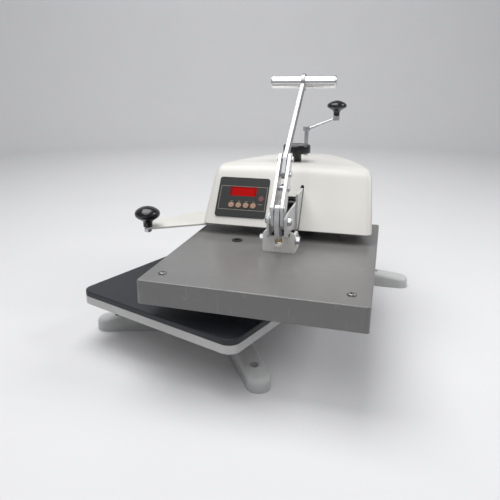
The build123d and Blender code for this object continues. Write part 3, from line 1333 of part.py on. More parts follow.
# Bolts and pins of the straps: the link's pin, the bar's bolts and the spacer below it
with BuildPart() as lever_pins:
    with BuildSketch(side(HEAD, STRAP_SIDES[0])):
        with Locations(PIN):
            Circle(PIN_R)
    extrude(amount=STRAP_SIDES[1] + STRAP_T - STRAP_SIDES[0])
    for face_x, thickness in ((STRAP_SIDES[0], -PIN_HEAD_T), (STRAP_SIDES[1] + STRAP_T, PIN_HEAD_T)):
        with BuildSketch(side(HEAD, face_x)):
            with Locations(PIN):
                Circle(PIN_HEAD_R)
        extrude(amount=thickness)
    with BuildSketch(side(HEAD, STRAP_SIDES[0])):
        with Locations(*BAR_BOLTS, STRAP_SPACER):
            Circle(BAR_BOLT_R)
    extrude(amount=STRAP_SIDES[1] + STRAP_T - STRAP_SIDES[0])
    for face_x, thickness in ((STRAP_SIDES[0], -BAR_BOLT_R), (STRAP_SIDES[1] + STRAP_T, BAR_BOLT_R)):
        with BuildSketch(side(HEAD, face_x)):
            with Locations(*BAR_BOLTS, STRAP_SPACER):
                RegularPolygon(radius=1.7 * BAR_BOLT_R, side_count=6)
        extrude(amount=thickness)
    with BuildSketch(side(HEAD, STRAP_IN_LEFT)):
        with Locations(STRAP_SPACER):
            Circle(SPACER_TUBE_R)
    extrude(amount=STRAP_IN_RIGHT - STRAP_IN_LEFT)
    for ring_x in (STRAP_IN_LEFT, LINK_X + BAR_T / 2):
        with BuildSketch(side(HEAD, ring_x)):
            with Locations(*BAR_BOLTS):
                Circle(SPACER_TUBE_R)
        extrude(amount=STRAP_IN_RIGHT - LINK_X - BAR_T / 2)
lever_pins.part.label = "lever_pins"
export_step(lever_pins.part, "parts/lever_pins.step")

# Grip tube across the end of the bar
GRIP_LEFT = LINK_X - GRIP_LENGTH / 2
CAP_T = 3.0
with BuildPart() as grip_tube:
    with BuildSketch(side(HEAD, GRIP_LEFT + CAP_T)):
        with Locations((GRIP_Y, GRIP_Z)):
            Circle(GRIP_R)
            Circle(GRIP_R - GRIP_WALL, mode=Mode.SUBTRACT)
    extrude(amount=GRIP_LENGTH - 2 * CAP_T)
grip_tube.part.label = "grip_tube"
export_step(grip_tube.part, "parts/grip_tube.step")

# End caps of the grip, each with a spigot in the tube
with BuildPart() as grip_caps:
    for cap_x, inward in ((GRIP_LEFT + CAP_T, 1), (GRIP_LEFT + GRIP_LENGTH - CAP_T, -1)):
        with BuildSketch(side(HEAD, cap_x)):
            with Locations((GRIP_Y, GRIP_Z)):
                Circle(GRIP_R)
        extrude(amount=-CAP_T * inward)
        with BuildSketch(side(HEAD, cap_x)):
            with Locations((GRIP_Y, GRIP_Z)):
                Circle(GRIP_R - GRIP_WALL)
        extrude(amount=3 * CAP_T * inward)
grip_caps.part.label = "grip_caps"
export_step(grip_caps.part, "parts/grip_caps.step")

# Toggle link: an eye on the pin, a bow in front of the pivot and a saddle over the roller
ROLLER = (ROLLER_Y, ROLLER_Z)
HOOK_R = ROLLER_R + HOOK_PLAY
BOW_Y = PIVOT_Y - PIVOT_R - LINK_PLAY
with BuildPart() as toggle_link:
    with BuildSketch(side(HEAD, LINK_LEFT)):
        with BuildLine():
            ThreePointArc(
                (PIN_Y - LINK_EYE_R, PIN_Z),
                (PIVOT_Y - LINK_BOW, (PIN_Z + ROLLER_Z + HOOK_R) / 2),
                (ROLLER_Y - 2 * HOOK_R, ROLLER_Z + SADDLE_LIP),
            )
            Polyline(
                (ROLLER_Y - 2 * HOOK_R, ROLLER_Z + SADDLE_LIP),
                (ROLLER_Y, ROLLER_Z + SADDLE_LIP),
                (ROLLER_Y, ROLLER_Z + HOOK_R),
                (ROLLER_Y + SADDLE_TAIL, ROLLER_Z + HOOK_R),
                (ROLLER_Y + SADDLE_TAIL, ROLLER_Z + HOOK_R + SADDLE_T),
                (PIVOT_Y + LINK_PLAY, PIVOT_Z - 2 * PIVOT_R),
                (BOW_Y, PIVOT_Z - PIVOT_R),
                (BOW_Y, PIVOT_Z + PIVOT_R),
                (PIN_Y + LINK_EYE_R * 0.8, PIN_Z - LINK_EYE_R * 0.6),
                (PIN_Y, PIN_Z),
                (PIN_Y - LINK_EYE_R, PIN_Z),
            )
        make_face()
        with Locations(PIN):
            Circle(LINK_EYE_R)
            Circle(PIN_R + SLIDING_FIT, mode=Mode.SUBTRACT)
        with Locations(ROLLER):
            Circle(HOOK_R, mode=Mode.SUBTRACT)
    extrude(amount=LINK_T)
toggle_link.part.label = "toggle_link"
export_step(toggle_link.part, "parts/toggle_link.step")

# Pressure bracket on the platen: foot, cheeks, and a front plate with two ears and a slot
BRACKET_X = (BRACKET_LEFT + BRACKET_RIGHT) / 2
BRACKET_W = BRACKET_RIGHT - BRACKET_LEFT
BRACKET_SCREWS = [(LINK_X + x, ROLLER_Y + y) for x in (-16, 16) for y in (8, 34)]
with BuildPart() as pressure_bracket:
    with BuildSketch(level(HEAD, SHROUD_TOP)):
        with Locations((BRACKET_X, BRACKET_FRONT_Y)):
            Rectangle(BRACKET_W, BRACKET_REAR_Y - BRACKET_FRONT_Y, align=(Align.CENTER, Align.MIN))
        with Locations(*BRACKET_SCREWS):
            Circle(SCREW_R, mode=Mode.SUBTRACT)
    extrude(amount=BRACKET_FOOT_T)
    for cheek_x in (BRACKET_LEFT, BRACKET_RIGHT - BRACKET_WALL):
        with BuildSketch(side(HEAD, cheek_x)):
            Polygon(
                (BRACKET_FRONT_Y, SHROUD_TOP),
                (BRACKET_REAR_Y, SHROUD_TOP),
                (BRACKET_REAR_Y, SHROUD_TOP + BRACKET_RISE / 2),
                (BRACKET_FRONT_Y + BRACKET_RISE, SHROUD_TOP + BRACKET_EAR_RISE - BRACKET_WALL),
                (BRACKET_FRONT_Y, SHROUD_TOP + BRACKET_EAR_RISE - BRACKET_WALL),
                align=None,
            )
        extrude(amount=BRACKET_WALL)
    with BuildSketch(front(HEAD, BRACKET_FRONT_Y + BRACKET_FRONT_T)):
        with Locations((BRACKET_X, SHROUD_TOP)):
            Rectangle(BRACKET_W, BRACKET_EAR_RISE, align=(Align.CENTER, Align.MIN))
        chamfer(vertices().sort_by(Axis.Y)[-2:], BRACKET_WALL)
        with Locations((BRACKET_X, SHROUD_TOP + BRACKET_RISE)):
            Rectangle(
                BRACKET_W - 2 * BRACKET_EAR_W,
                BRACKET_EAR_RISE,
                align=(Align.CENTER, Align.MIN),
                mode=Mode.SUBTRACT,
            )
        with Locations((BRACKET_SLOT_LEFT, SHROUD_TOP + BRACKET_SLOT_RISE)):
            Rectangle(
                BRACKET_SLOT_RIGHT - BRACKET_SLOT_LEFT,
                BRACKET_EAR_RISE,
                align=(Align.MIN, Align.MIN),
                mode=Mode.SUBTRACT,
            )
    extrude(amount=BRACKET_FRONT_T)
    with BuildSketch(side(HEAD, BRACKET_LEFT)):
        with Locations(ROLLER):
            Circle(ROLLER_BOLT_R)
    extrude(amount=BRACKET_W, mode=Mode.SUBTRACT)
pressure_bracket.part.label = "pressure_bracket"
export_step(pressure_bracket.part, "parts/pressure_bracket.step")

# Bolt of the roller across the bracket, with its head, washer, nut and spacers
NUT_R = 1.8 * ROLLER_BOLT_R
NUT_T = 7.5
with BuildPart() as bracket_bolt:
    with BuildSketch(side(HEAD, BRACKET_LEFT)):
        with Locations(ROLLER):
            Circle(ROLLER_BOLT_R)
    extrude(amount=BRACKET_W)
    with BuildSketch(side(HEAD, BRACKET_LEFT)):
        with Locations(ROLLER):
            RegularPolygon(radius=NUT_R, side_count=6)
    extrude(amount=-NUT_T)
    with BuildSketch(side(HEAD, BRACKET_RIGHT)):
        with Locations(ROLLER):
            Circle(NUT_R + 1)
    extrude(amount=NUT_T / 4)
    with BuildSketch(side(HEAD, BRACKET_RIGHT + NUT_T / 4)):
        with Locations(ROLLER):
            RegularPolygon(radius=NUT_R, side_count=6)
    extrude(amount=NUT_T)
    for left, right in (
        (BRACKET_LEFT + BRACKET_WALL, LINK_X - ROLLER_W / 2),
        (LINK_X + ROLLER_W / 2, BRACKET_RIGHT - BRACKET_WALL),
    ):
        with BuildSketch(side(HEAD, left)):
            with Locations(ROLLER):
                Circle(SPACER_R)
        extrude(amount=right - left)
bracket_bolt.part.label = "bracket_bolt"
export_step(bracket_bolt.part, "parts/bracket_bolt.step")

# Brass roller in the slot, pressed by the link's saddle
with BuildPart() as brass_roller:
    with BuildSketch(side(HEAD, LINK_X - ROLLER_W / 2)):
        with Locations(ROLLER):
            Circle(ROLLER_R)
            Circle(ROLLER_BOLT_R, mode=Mode.SUBTRACT)
    extrude(amount=ROLLER_W)
brass_roller.part.label = "brass_roller"
export_step(brass_roller.part, "parts/brass_roller.step")

# Sheet shroud over the platen, open below
SHROUD_W = PLATEN_W + 2 * SHROUD_MARGIN
SHROUD_D = PLATEN_D + 2 * SHROUD_MARGIN
with BuildPart() as platen_shroud:
    with BuildSketch(level(HEAD, SHROUD_Z)):
        RectangleRounded(SHROUD_W, SHROUD_D, SHROUD_CORNER_R)
    extrude(amount=SHROUD_H)
    fillet(platen_shroud.faces().sort_by(Axis.Z)[-1].edges(), SHEET_T * 1.5)
    with BuildSketch(level(HEAD, SHROUD_Z)):
        RectangleRounded(SHROUD_W - 2 * SHEET_T, SHROUD_D - 2 * SHEET_T, SHROUD_CORNER_R - SHEET_T)
    extrude(amount=SHROUD_H - SHEET_T, mode=Mode.SUBTRACT)
    with BuildSketch(level(HEAD, SHROUD_Z)):
        with GridLocations(2 * SCREW_X, 2 * SCREW_Y, 2, 2):
            Circle(SCREW_R)
        with Locations(*BRACKET_SCREWS):
            Circle(SCREW_R)
        with Locations(*RODS):
            Circle(ROD_R)
        with Locations((GROMMET_X, GROMMET_Y)):
            Circle(GROMMET_R - SHEET_T)
    extrude(amount=2 * SHROUD_H, mode=Mode.SUBTRACT)
platen_shroud.part.label = "platen_shroud"
export_step(platen_shroud.part, "parts/platen_shroud.step")

# Heated aluminium plate
with BuildPart() as heat_plate:
    with BuildSketch(level(HEAD, PLATEN_Z)):
        RectangleRounded(PLATEN_W, PLATEN_D, SHROUD_CORNER_R)
    extrude(amount=HEAT_PLATE_T)
    fillet(heat_plate.faces().sort_by(Axis.Z)[0].edges(), HEAT_PLATE_PROUD / 2)
    with BuildSketch(level(HEAD, HEAT_PLATE_TOP - HEAT_PLATE_T / 2)):
        with GridLocations(2 * SCREW_X, 2 * SCREW_Y, 2, 2):
            Circle(SCREW_R)
    extrude(amount=HEAT_PLATE_T, mode=Mode.SUBTRACT)
heat_plate.part.label = "heat_plate"
export_step(heat_plate.part, "parts/heat_plate.step")

# Tubular heating element that winds to and fro on the plate
ELEMENT_PITCH = 2 * ELEMENT_TURN_R
ELEMENT_CORNERS = []
for run_count in range(ELEMENT_RUNS):
    run_x = (run_count - (ELEMENT_RUNS - 1) / 2) * ELEMENT_PITCH
    direction = 1 if run_count % 2 else -1
    ELEMENT_CORNERS.append((run_x, direction * ELEMENT_RUN, ELEMENT_Z))
    ELEMENT_CORNERS.append((run_x, -direction * ELEMENT_RUN, ELEMENT_Z))
with BuildPart() as heating_element:
    with BuildLine(HEAD) as element_path:
        FilletPolyline(*ELEMENT_CORNERS, radius=ELEMENT_TURN_R * 0.98)
    with BuildSketch(front(HEAD, -ELEMENT_RUN)):
        with Locations((ELEMENT_CORNERS[0][0], ELEMENT_Z)):
            Circle(ELEMENT_R)
    sweep(path=element_path.line)
heating_element.part.label = "heating_element"
export_step(heating_element.part, "parts/heating_element.step")

# Insulation board over the element
with BuildPart() as insulation_board:
    with BuildSketch(level(HEAD, INSULATION_Z)):
        Rectangle(PLATEN_W - 2 * INSULATION_INSET, PLATEN_D - 2 * INSULATION_INSET)
        with GridLocations(2 * SCREW_X, 2 * SCREW_Y, 2, 2):
            Circle(STAY_R, mode=Mode.SUBTRACT)
    extrude(amount=INSULATION_T)
insulation_board.part.label = "insulation_board"
export_step(insulation_board.part, "parts/insulation_board.step")

# Strongback under the shroud's top, on four stays that stand on the heated plate
with BuildPart() as strongback:
    with BuildSketch(level(HEAD, STRONGBACK_Z)):
        Rectangle(PLATEN_W - 2 * STRONGBACK_INSET, PLATEN_D - 2 * STRONGBACK_INSET)
    extrude(amount=STRONGBACK_T)
    with BuildSketch(level(HEAD, HEAT_PLATE_TOP)):
        with GridLocations(2 * SCREW_X, 2 * SCREW_Y, 2, 2):
            Circle(STAY_R)
    extrude(amount=STRONGBACK_Z - HEAT_PLATE_TOP)
    with BuildSketch(level(HEAD, HEAT_PLATE_TOP)):
        with GridLocations(2 * SCREW_X, 2 * SCREW_Y, 2, 2):
            Circle(SCREW_R)
        with Locations(*RODS):
            Circle(ROD_R)
        with Locations(*BRACKET_SCREWS):
            Circle(SCREW_R)
    extrude(amount=SHROUD_H, mode=Mode.SUBTRACT)
strongback.part.label = "strongback"
export_step(strongback.part, "parts/strongback.step")

# Screws of the platen: four through the shroud and its stays, four in the bracket's foot
with BuildPart() as platen_screws:
    with BuildSketch(level(HEAD, HEAT_PLATE_TOP - HEAT_PLATE_T / 2)):
        with GridLocations(2 * SCREW_X, 2 * SCREW_Y, 2, 2):
            Circle(SCREW_R)
    extrude(amount=SHROUD_TOP - HEAT_PLATE_TOP + HEAT_PLATE_T / 2)
    with BuildSketch(level(HEAD, SHROUD_TOP)):
        with GridLocations(2 * SCREW_X, 2 * SCREW_Y, 2, 2):
            Circle(SCREW_HEAD_R)
    extrude(amount=SCREW_HEAD_T)
    with BuildSketch(level(HEAD, STRONGBACK_Z)):
        with Locations(*BRACKET_SCREWS):
            Circle(SCREW_R)
    extrude(amount=SHROUD_TOP + BRACKET_FOOT_T - STRONGBACK_Z)
    with BuildSketch(level(HEAD, SHROUD_TOP + BRACKET_FOOT_T)):
        with Locations(*BRACKET_SCREWS):
            Circle(1.6 * SCREW_R)
    extrude(amount=SCREW_R)
platen_screws.part.label = "platen_screws"
export_step(platen_screws.part, "parts/platen_screws.step")

# Guide rods that stand on the strongback and slide in the bushes
with BuildPart() as guide_rods:
    with BuildSketch(level(HEAD, STRONGBACK_Z)):
        with Locations(*RODS):
            Circle(ROD_R)
    extrude(amount=ROD_TOP - STRONGBACK_Z)
guide_rods.part.label = "guide_rods"
export_step(guide_rods.part, "parts/guide_rods.step")

# Grommet in the shroud's cable hole
with BuildPart() as cable_grommet:
    with BuildSketch(side(HEAD, GROMMET_X)):
        with BuildLine():
            Polyline(
                (GROMMET_Y + GROMMET_BORE_R, STRONGBACK_TOP),
                (GROMMET_Y + GROMMET_R - SHEET_T, STRONGBACK_TOP),
                (GROMMET_Y + GROMMET_R - SHEET_T, SHROUD_TOP),
                (GROMMET_Y + GROMMET_R, SHROUD_TOP),
                (GROMMET_Y + GROMMET_R, SHROUD_TOP + SHEET_T),
                (GROMMET_Y + GROMMET_BORE_R, SHROUD_TOP + SHEET_T),
                close=True,
            )
        make_face()
    revolve(axis=Axis(HEAD.from_local_coords((GROMMET_X, GROMMET_Y, 0)), UP))
cable_grommet.part.label = "cable_grommet"
export_step(cable_grommet.part, "parts/cable_grommet.step")

# Stop screw over the back of the platen: foot, stud and the hand knob on the cover
STOP_FOOT_Z = SHROUD_TOP + STOP_FOOT_GAP
STOP_KNOB_Z = COVER_TOP_Z - COVER_TOP_FALL * (STOP_Y - COVER_TOP_Y) + SLEEVE_GAP
with BuildPart() as stop_foot:
    with BuildSketch(level(HEAD, STOP_FOOT_Z)):
        with Locations((STOP_X, STOP_Y)):
            Circle(STOP_FOOT_R)
    extrude(amount=STOP_FOOT_T)
    chamfer(stop_foot.faces().sort_by(Axis.Z)[-1].edges(), STOP_FOOT_T / 4)
stop_foot.part.label = "stop_foot"
export_step(stop_foot.part, "parts/stop_foot.step")

STOP_STUD_TOP = STOP_KNOB_Z + STOP_KNOB_STEM_H + STOP_KNOB_T / 2
with BuildPart() as stop_stud:
    with BuildSketch(level(HEAD, STOP_FOOT_Z + STOP_FOOT_T)):
        with Locations((STOP_X, STOP_Y)):
            Circle(STOP_R)
    extrude(amount=STOP_STUD_TOP - STOP_FOOT_Z - STOP_FOOT_T)
stop_stud.part.label = "stop_stud"
export_step(stop_stud.part, "parts/stop_stud.step")

with BuildPart() as hand_knob:
    with BuildSketch(level(HEAD, STOP_KNOB_Z)):
        with Locations((STOP_X, STOP_Y)):
            Circle(STOP_KNOB_STEM_R)
    extrude(amount=STOP_KNOB_STEM_H)
    with BuildSketch(level(HEAD, STOP_KNOB_Z + STOP_KNOB_STEM_H)):
        with Locations((STOP_X, STOP_Y)):
            Circle(STOP_KNOB_R)
    extrude(amount=STOP_KNOB_T)
    fillet(hand_knob.faces().sort_by(Axis.Z)[-1].edges(), STOP_KNOB_T / 4)
    with BuildSketch(level(HEAD, STOP_KNOB_Z)):
        with Locations((STOP_X, STOP_Y)):
            Circle(STOP_R)
    extrude(amount=STOP_STUD_TOP - STOP_KNOB_Z, mode=Mode.SUBTRACT)
hand_knob.part.label = "hand_knob"
export_step(hand_knob.part, "parts/hand_knob.step")
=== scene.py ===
import logging
import math
from dataclasses import dataclass
from enum import Enum
from typing import Any, Optional, Sequence, Union

import bmesh
import bpy
import numpy as np
from mathutils import Matrix, Vector


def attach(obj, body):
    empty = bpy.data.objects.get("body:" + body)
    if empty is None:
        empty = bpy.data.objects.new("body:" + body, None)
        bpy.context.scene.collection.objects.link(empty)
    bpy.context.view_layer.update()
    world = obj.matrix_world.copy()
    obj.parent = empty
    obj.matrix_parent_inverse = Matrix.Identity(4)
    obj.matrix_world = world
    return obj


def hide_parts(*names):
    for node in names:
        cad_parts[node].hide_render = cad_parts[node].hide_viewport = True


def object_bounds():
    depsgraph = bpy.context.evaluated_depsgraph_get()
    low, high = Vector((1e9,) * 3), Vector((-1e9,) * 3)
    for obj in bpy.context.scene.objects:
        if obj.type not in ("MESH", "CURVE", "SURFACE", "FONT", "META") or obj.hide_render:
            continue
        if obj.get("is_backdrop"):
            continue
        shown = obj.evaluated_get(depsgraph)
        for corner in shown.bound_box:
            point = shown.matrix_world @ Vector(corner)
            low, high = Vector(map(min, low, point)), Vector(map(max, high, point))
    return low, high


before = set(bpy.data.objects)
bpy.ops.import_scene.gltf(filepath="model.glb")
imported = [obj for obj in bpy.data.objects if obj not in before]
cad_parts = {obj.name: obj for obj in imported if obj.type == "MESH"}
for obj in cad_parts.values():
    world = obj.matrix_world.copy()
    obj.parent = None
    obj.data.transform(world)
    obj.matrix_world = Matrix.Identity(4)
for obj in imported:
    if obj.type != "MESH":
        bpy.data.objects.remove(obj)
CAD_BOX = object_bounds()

# A manual swing-away heat press. Everything is in metres, +Z up, floor at z = 0.
LOG = logging.getLogger("press")
PICTURE_SIDE = 500

REST_SWING = math.radians(19.15)
AXIS_Y = 0.231
AXIS_BEHIND = 0.381
TABLE_AHEAD = 0.150
DECK_TOP = 0.228
COVER_Z = 0.2328
SHROUD_TOP = 0.2085
# The cover's sloping face: where it starts at the rim, and how far it leans back per metre up
FACE_Y = 0.068
FACE_LEAN = 0.68

Number = Union[float, int]
Colour = tuple[float, float, float]
Faces = Union[np.ndarray, list[list[int]]]
Knots = tuple[tuple[float, float], ...]


@dataclass(frozen=True)
class Place:
    """A level frame of the press: an origin on the floor and a turn about the vertical."""

    x: float = 0.0
    y: float = 0.0
    turn: float = 0.0

    def axes(self) -> np.ndarray:
        """The frame's x, y and z axes as rows."""
        c, s = math.cos(self.turn), math.sin(self.turn)
        return np.array([[c, s, 0.0], [-s, c, 0.0], [0.0, 0.0, 1.0]])

    def points(self, local: np.ndarray) -> np.ndarray:
        """Turns local points by the frame's axes and adds its origin.

        Args:
            local: Points in this frame, in the last axis of the array.

        Returns:
            The same points in the press's own frame.
        """
        return local @ self.axes() + np.array([self.x, self.y, 0.0])


HEAD = Place(
    AXIS_BEHIND * math.sin(REST_SWING), AXIS_Y - AXIS_BEHIND * math.cos(REST_SWING), REST_SWING
)
CRANK = Place(0.0, AXIS_Y, REST_SWING)
TABLE = Place(0.0, -TABLE_AHEAD, 0.0)


# Shader maths


class Socket:
    """An output of a shader node, on which arithmetic adds Math nodes."""

    def __init__(self, shader: "Shader", output: bpy.types.NodeSocket) -> None:
        """Keeps the shader and the node's output."""
        self.shader = shader
        self.output = output

    def _maths(self, operation: str, *values: Any) -> "Socket":
        """Adds one Math node.

        Args:
            operation: The Math node's operation.
            values: Its inputs, in order.

        Returns:
            The node's result.
        """
        settings = {"operation": operation}
        return self.shader.node("ShaderNodeMath", settings, dict(enumerate(values)))

    def __add__(self, other: Any) -> "Socket":
        """Sum."""
        return self._maths("ADD", self, other)

    def __radd__(self, other: Any) -> "Socket":
        """Sum with a number on the left."""
        return self._maths("ADD", other, self)

    def __sub__(self, other: Any) -> "Socket":
        """Difference."""
        return self._maths("SUBTRACT", self, other)

    def __rsub__(self, other: Any) -> "Socket":
        """Difference with a number on the left."""
        return self._maths("SUBTRACT", other, self)

    def __mul__(self, other: Any) -> "Socket":
        """Product."""
        return self._maths("MULTIPLY", self, other)

    def __rmul__(self, other: Any) -> "Socket":
        """Product with a number on the left."""
        return self._maths("MULTIPLY", other, self)

    def __abs__(self) -> "Socket":
        """Size without sign."""
        return self._maths("ABSOLUTE", self)

    def __lt__(self, other: Any) -> "Socket":
        """One where this is less than the other, and else nought."""
        return self._maths("LESS_THAN", self, other)

    def least(self, other: Any) -> "Socket":
        """The smaller of the two."""
        return self._maths("MINIMUM", self, other)

    def most(self, other: Any) -> "Socket":
        """The larger of the two."""
        return self._maths("MAXIMUM", self, other)

    def ramp(self, low: Number, high: Number) -> "Socket":
        """Rises smoothly from nought at low to one at high."""
        settings = {"interpolation_type": "SMOOTHSTEP"}
        values = {"Value": self, "From Min": low, "From Max": high}
        return self.shader.node("ShaderNodeMapRange", settings, values)


class Shader:
    """One material in the making, with its Principled shader and its output."""

    def __init__(self, name: str) -> None:
        """Starts a material with that name."""
        self.material = bpy.data.materials.new(name)
        self.material.use_nodes = True
        self.tree = self.material.node_tree
        self.tree.nodes.clear()
        self.surface = self.tree.nodes.new("ShaderNodeBsdfPrincipled")
        output = self.tree.nodes.new("ShaderNodeOutputMaterial")
        self.tree.links.new(self.surface.outputs[0], output.inputs["Surface"])

    def node(
        self,
        kind: str,
        settings: Optional[dict[str, Any]] = None,
        values: Optional[dict[Union[str, int], Any]] = None,
        output: Union[str, int] = 0,
    ) -> Socket:
        """Adds any node.

        Args:
            kind: The node's type.
            settings: Properties of the node, set first.
            values: What its sockets hold, by name or number: a Socket or a constant.
            output: The output that is handed back.

        Returns:
            That output, ready for arithmetic.
        """
        made = self.tree.nodes.new(kind)
        for name, value in (settings or {}).items():
            setattr(made, name, value)
        for name, value in (values or {}).items():
            self.feed(made.inputs[name], value)
        return Socket(self, made.outputs[output])

    def feed(self, target: bpy.types.NodeSocket, value: Any) -> None:
        """Links a Socket to a node's input, or sets a constant on it."""
        if isinstance(value, Socket):
            self.tree.links.new(value.output, target)
        elif target.type == "RGBA" and len(value) == 3:
            target.default_value = (*value, 1.0)
        else:
            target.default_value = value

    def wear(self, **values: Any) -> None:
        """Sets the Principled shader's inputs; underscores in the names stand for spaces."""
        for name, value in values.items():
            self.feed(self.surface.inputs[name.replace("_", " ")], value)

    def point(self) -> Socket:
        """The place on the piece, in metres."""
        return self.node("ShaderNodeTexCoord", output="Object")

    def moved(self, point: Socket, place: Place, scale: Sequence[float] = (1, 1, 1)) -> Socket:
        """A point seen from a frame of the press, stretched along that frame's axes.

        Args:
            point: The place on the piece.
            place: The frame.
            scale: How much each of the frame's axes is stretched.

        Returns:
            The point in the frame.
        """
        origin = -(np.array([place.x, place.y, 0.0]) @ place.axes().T)
        turned = self.node(
            "ShaderNodeMapping",
            {"vector_type": "POINT"},
            {"Vector": point, "Location": tuple(origin), "Rotation": (0.0, 0.0, -place.turn)},
        )
        return self.node("ShaderNodeMapping", None, {"Vector": turned, "Scale": tuple(scale)})

    def parts(self, vector: Socket) -> tuple[Socket, Socket, Socket]:
        """A vector's three numbers."""
        split = self.node("ShaderNodeSeparateXYZ", None, {"Vector": vector}).output.node
        return tuple(Socket(self, output) for output in split.outputs)

    def noise(self, point: Socket, scale: float, detail: float = 3.0, rough: float = 0.5) -> Socket:
        """Fractal noise about a half, with that many cells to the metre."""
        values = {"Vector": point, "Scale": scale, "Detail": detail, "Roughness": rough}
        return self.node("ShaderNodeTexNoise", None, values)

    def mix(self, share: Any, first: Any, second: Any) -> Socket:
        """A colour between two, by a share from nought to one."""
        settings = {"data_type": "RGBA", "clamp_factor": True}
        return self.node("ShaderNodeMix", settings, {0: share, 6: first, 7: second}, output=2)

    def face_rise(self, height: Socket) -> Socket:
        """How far up the cover's sloping face a height is, measured on the face."""
        return (height - COVER_Z) * math.hypot(1.0, FACE_LEAN)

    def edges(self, radius: float) -> tuple[Socket, Socket]:
        """Rounds the edges in the normal alone.

        Args:
            radius: How far from an edge the normal starts to turn.

        Returns:
            The rounded normal, and how near an edge is, from nought to one.
        """
        round_normal = self.node("ShaderNodeBevel", {"samples": 4}, {"Radius": radius})
        true_normal = self.node("ShaderNodeNewGeometry", output="Normal")
        along = self.node(
            "ShaderNodeVectorMath",
            {"operation": "DOT_PRODUCT"},
            {0: round_normal, 1: true_normal},
            output="Value",
        )
        return round_normal, (1 - along).ramp(0.01, 0.2)

    def bump(self, height: Socket, depth: float, normal: Optional[Socket] = None) -> Socket:
        """Tilts a normal by a height.

        Args:
            height: From nought to one.
            depth: What a height of one is, in metres.
            normal: The normal that is tilted; the piece's own where it is left out.

        Returns:
            The tilted normal.
        """
        values = {"Height": height, "Distance": depth, "Strength": 1.0}
        if normal is not None:
            values["Normal"] = normal
        return self.node("ShaderNodeBump", None, values)


# Finishes


@dataclass(frozen=True)
class Finish:
    """What every finish has: a name, a colour, a roughness and how round its edges are."""

    name: str
    colour: Colour
    roughness: float = 0.4
    edge: float = 0.0008

    def material(self) -> bpy.types.Material:
        """Makes the finish's material once, and after that hands back the same one."""
        # The frame's own materials may share the finish's name, so a prefix sets it apart
        title = f"press_{self.name}"
        known = bpy.data.materials.get(title)
        if known is not None:
            return known
        shader = Shader(title)
        self.dress(shader)
        return shader.material

    def dress(self, shader: Shader) -> None:
        """Fills in the shader; each kind of finish has its own way."""
        raise NotImplementedError

    def tinted(self, factor: float) -> Colour:
        """The colour made lighter or darker by a factor."""
        return tuple(min(1.0, channel * factor) for channel in self.colour)


@dataclass(frozen=True)
class PowderCoat(Finish):
    """Paint baked on sheet metal: orange peel, slight unevenness, and edges made lighter as painted
    highlight and wear.
    """

    peel: float = 700.0
    peel_depth: float = 0.00003
    edge_wear_and_highlight: float = 0.25
    clouds: float = 9.0
    smears: float = 12.0
    smear_stretch: float = 6.0

    def dress(self, shader: Shader) -> None:
        """Mixes the colour by broad noise, lightens it along the edges as painted highlight and wear, and
        bumps it with fine noise.
        """
        point = shader.point()
        normal, near_edge = shader.edges(self.edge)
        broad = shader.noise(point, self.clouds)
        fine = shader.noise(point, self.peel, 2.0)
        stretch = (1.0, self.smear_stretch, self.smear_stretch)
        smears = shader.noise(shader.moved(point, HEAD, stretch), self.smears, 4.0, 0.6)
        base = shader.mix(broad, self.tinted(0.93), self.tinted(1.05))
        # Lighter along every edge: a painted highlight, partly edge wear
        base = shader.mix(near_edge * self.edge_wear_and_highlight, base, self.tinted(1.25))
        shader.wear(
            Base_Color=base,
            Roughness=self.roughness + 0.16 * (smears - 0.5) + 0.05 * (fine - 0.5),
            Normal=shader.bump(fine, self.peel_depth, normal),
        )


@dataclass(frozen=True)
class ScratchedPaint(PowderCoat):
    """Satin paint on the platen's shroud, with faint scratches and rubbed spots.

    Each family of scratches has its turn, its stretch across and its scale.
    """

    scratches: tuple[tuple[float, float, float], ...] = (
        (0.25, 26.0, 7.0),
        (-0.5, 30.0, 6.0),
        (1.35, 34.0, 5.0),
    )
    scratch_half: float = 0.012
    clouds: float = 7.0
    rubs: float = 26.0
    gloss: float = 0.8

    def dress(self, shader: Shader) -> None:
        """Adds thin lines, where stretched noise is near a half, to an uneven satin coat."""
        point = shader.point()
        normal, near_edge = shader.edges(self.edge)
        broad = shader.noise(point, self.clouds, 4.0, 0.6)
        fine = shader.noise(point, self.peel, 2.0)
        rubbed = shader.noise(point, self.rubs, 5.0, 0.65).ramp(0.56, 0.75)
        base = shader.mix(broad, self.tinted(0.9), self.tinted(1.1))
        base = shader.mix(rubbed * 0.14, base, self.tinted(1.7))
        lines: Any = 0.0
        for turn, stretch, scale in self.scratches:
            turned = shader.moved(point, Place(turn=turn), (1.0, stretch, 1.0))
            line = 1 - abs(shader.noise(turned, scale, 1.0) - 0.5).ramp(0.0, self.scratch_half)
            patch = shader.noise(point, 15.0 + scale, 1.0).ramp(0.52, 0.62)
            lines = line * patch + lines
        base = shader.mix((lines * 0.2).least(0.3), base, self.tinted(2.2))
        # Lighter along every edge: a painted highlight, partly rubbed edges
        base = shader.mix(near_edge * self.edge_wear_and_highlight, base, self.tinted(1.6))
        shader.wear(
            Base_Color=base,
            Roughness=self.roughness + 0.14 * (broad - 0.5),
            Specular_IOR_Level=self.gloss,
            Normal=shader.bump(fine, self.peel_depth, normal),
        )


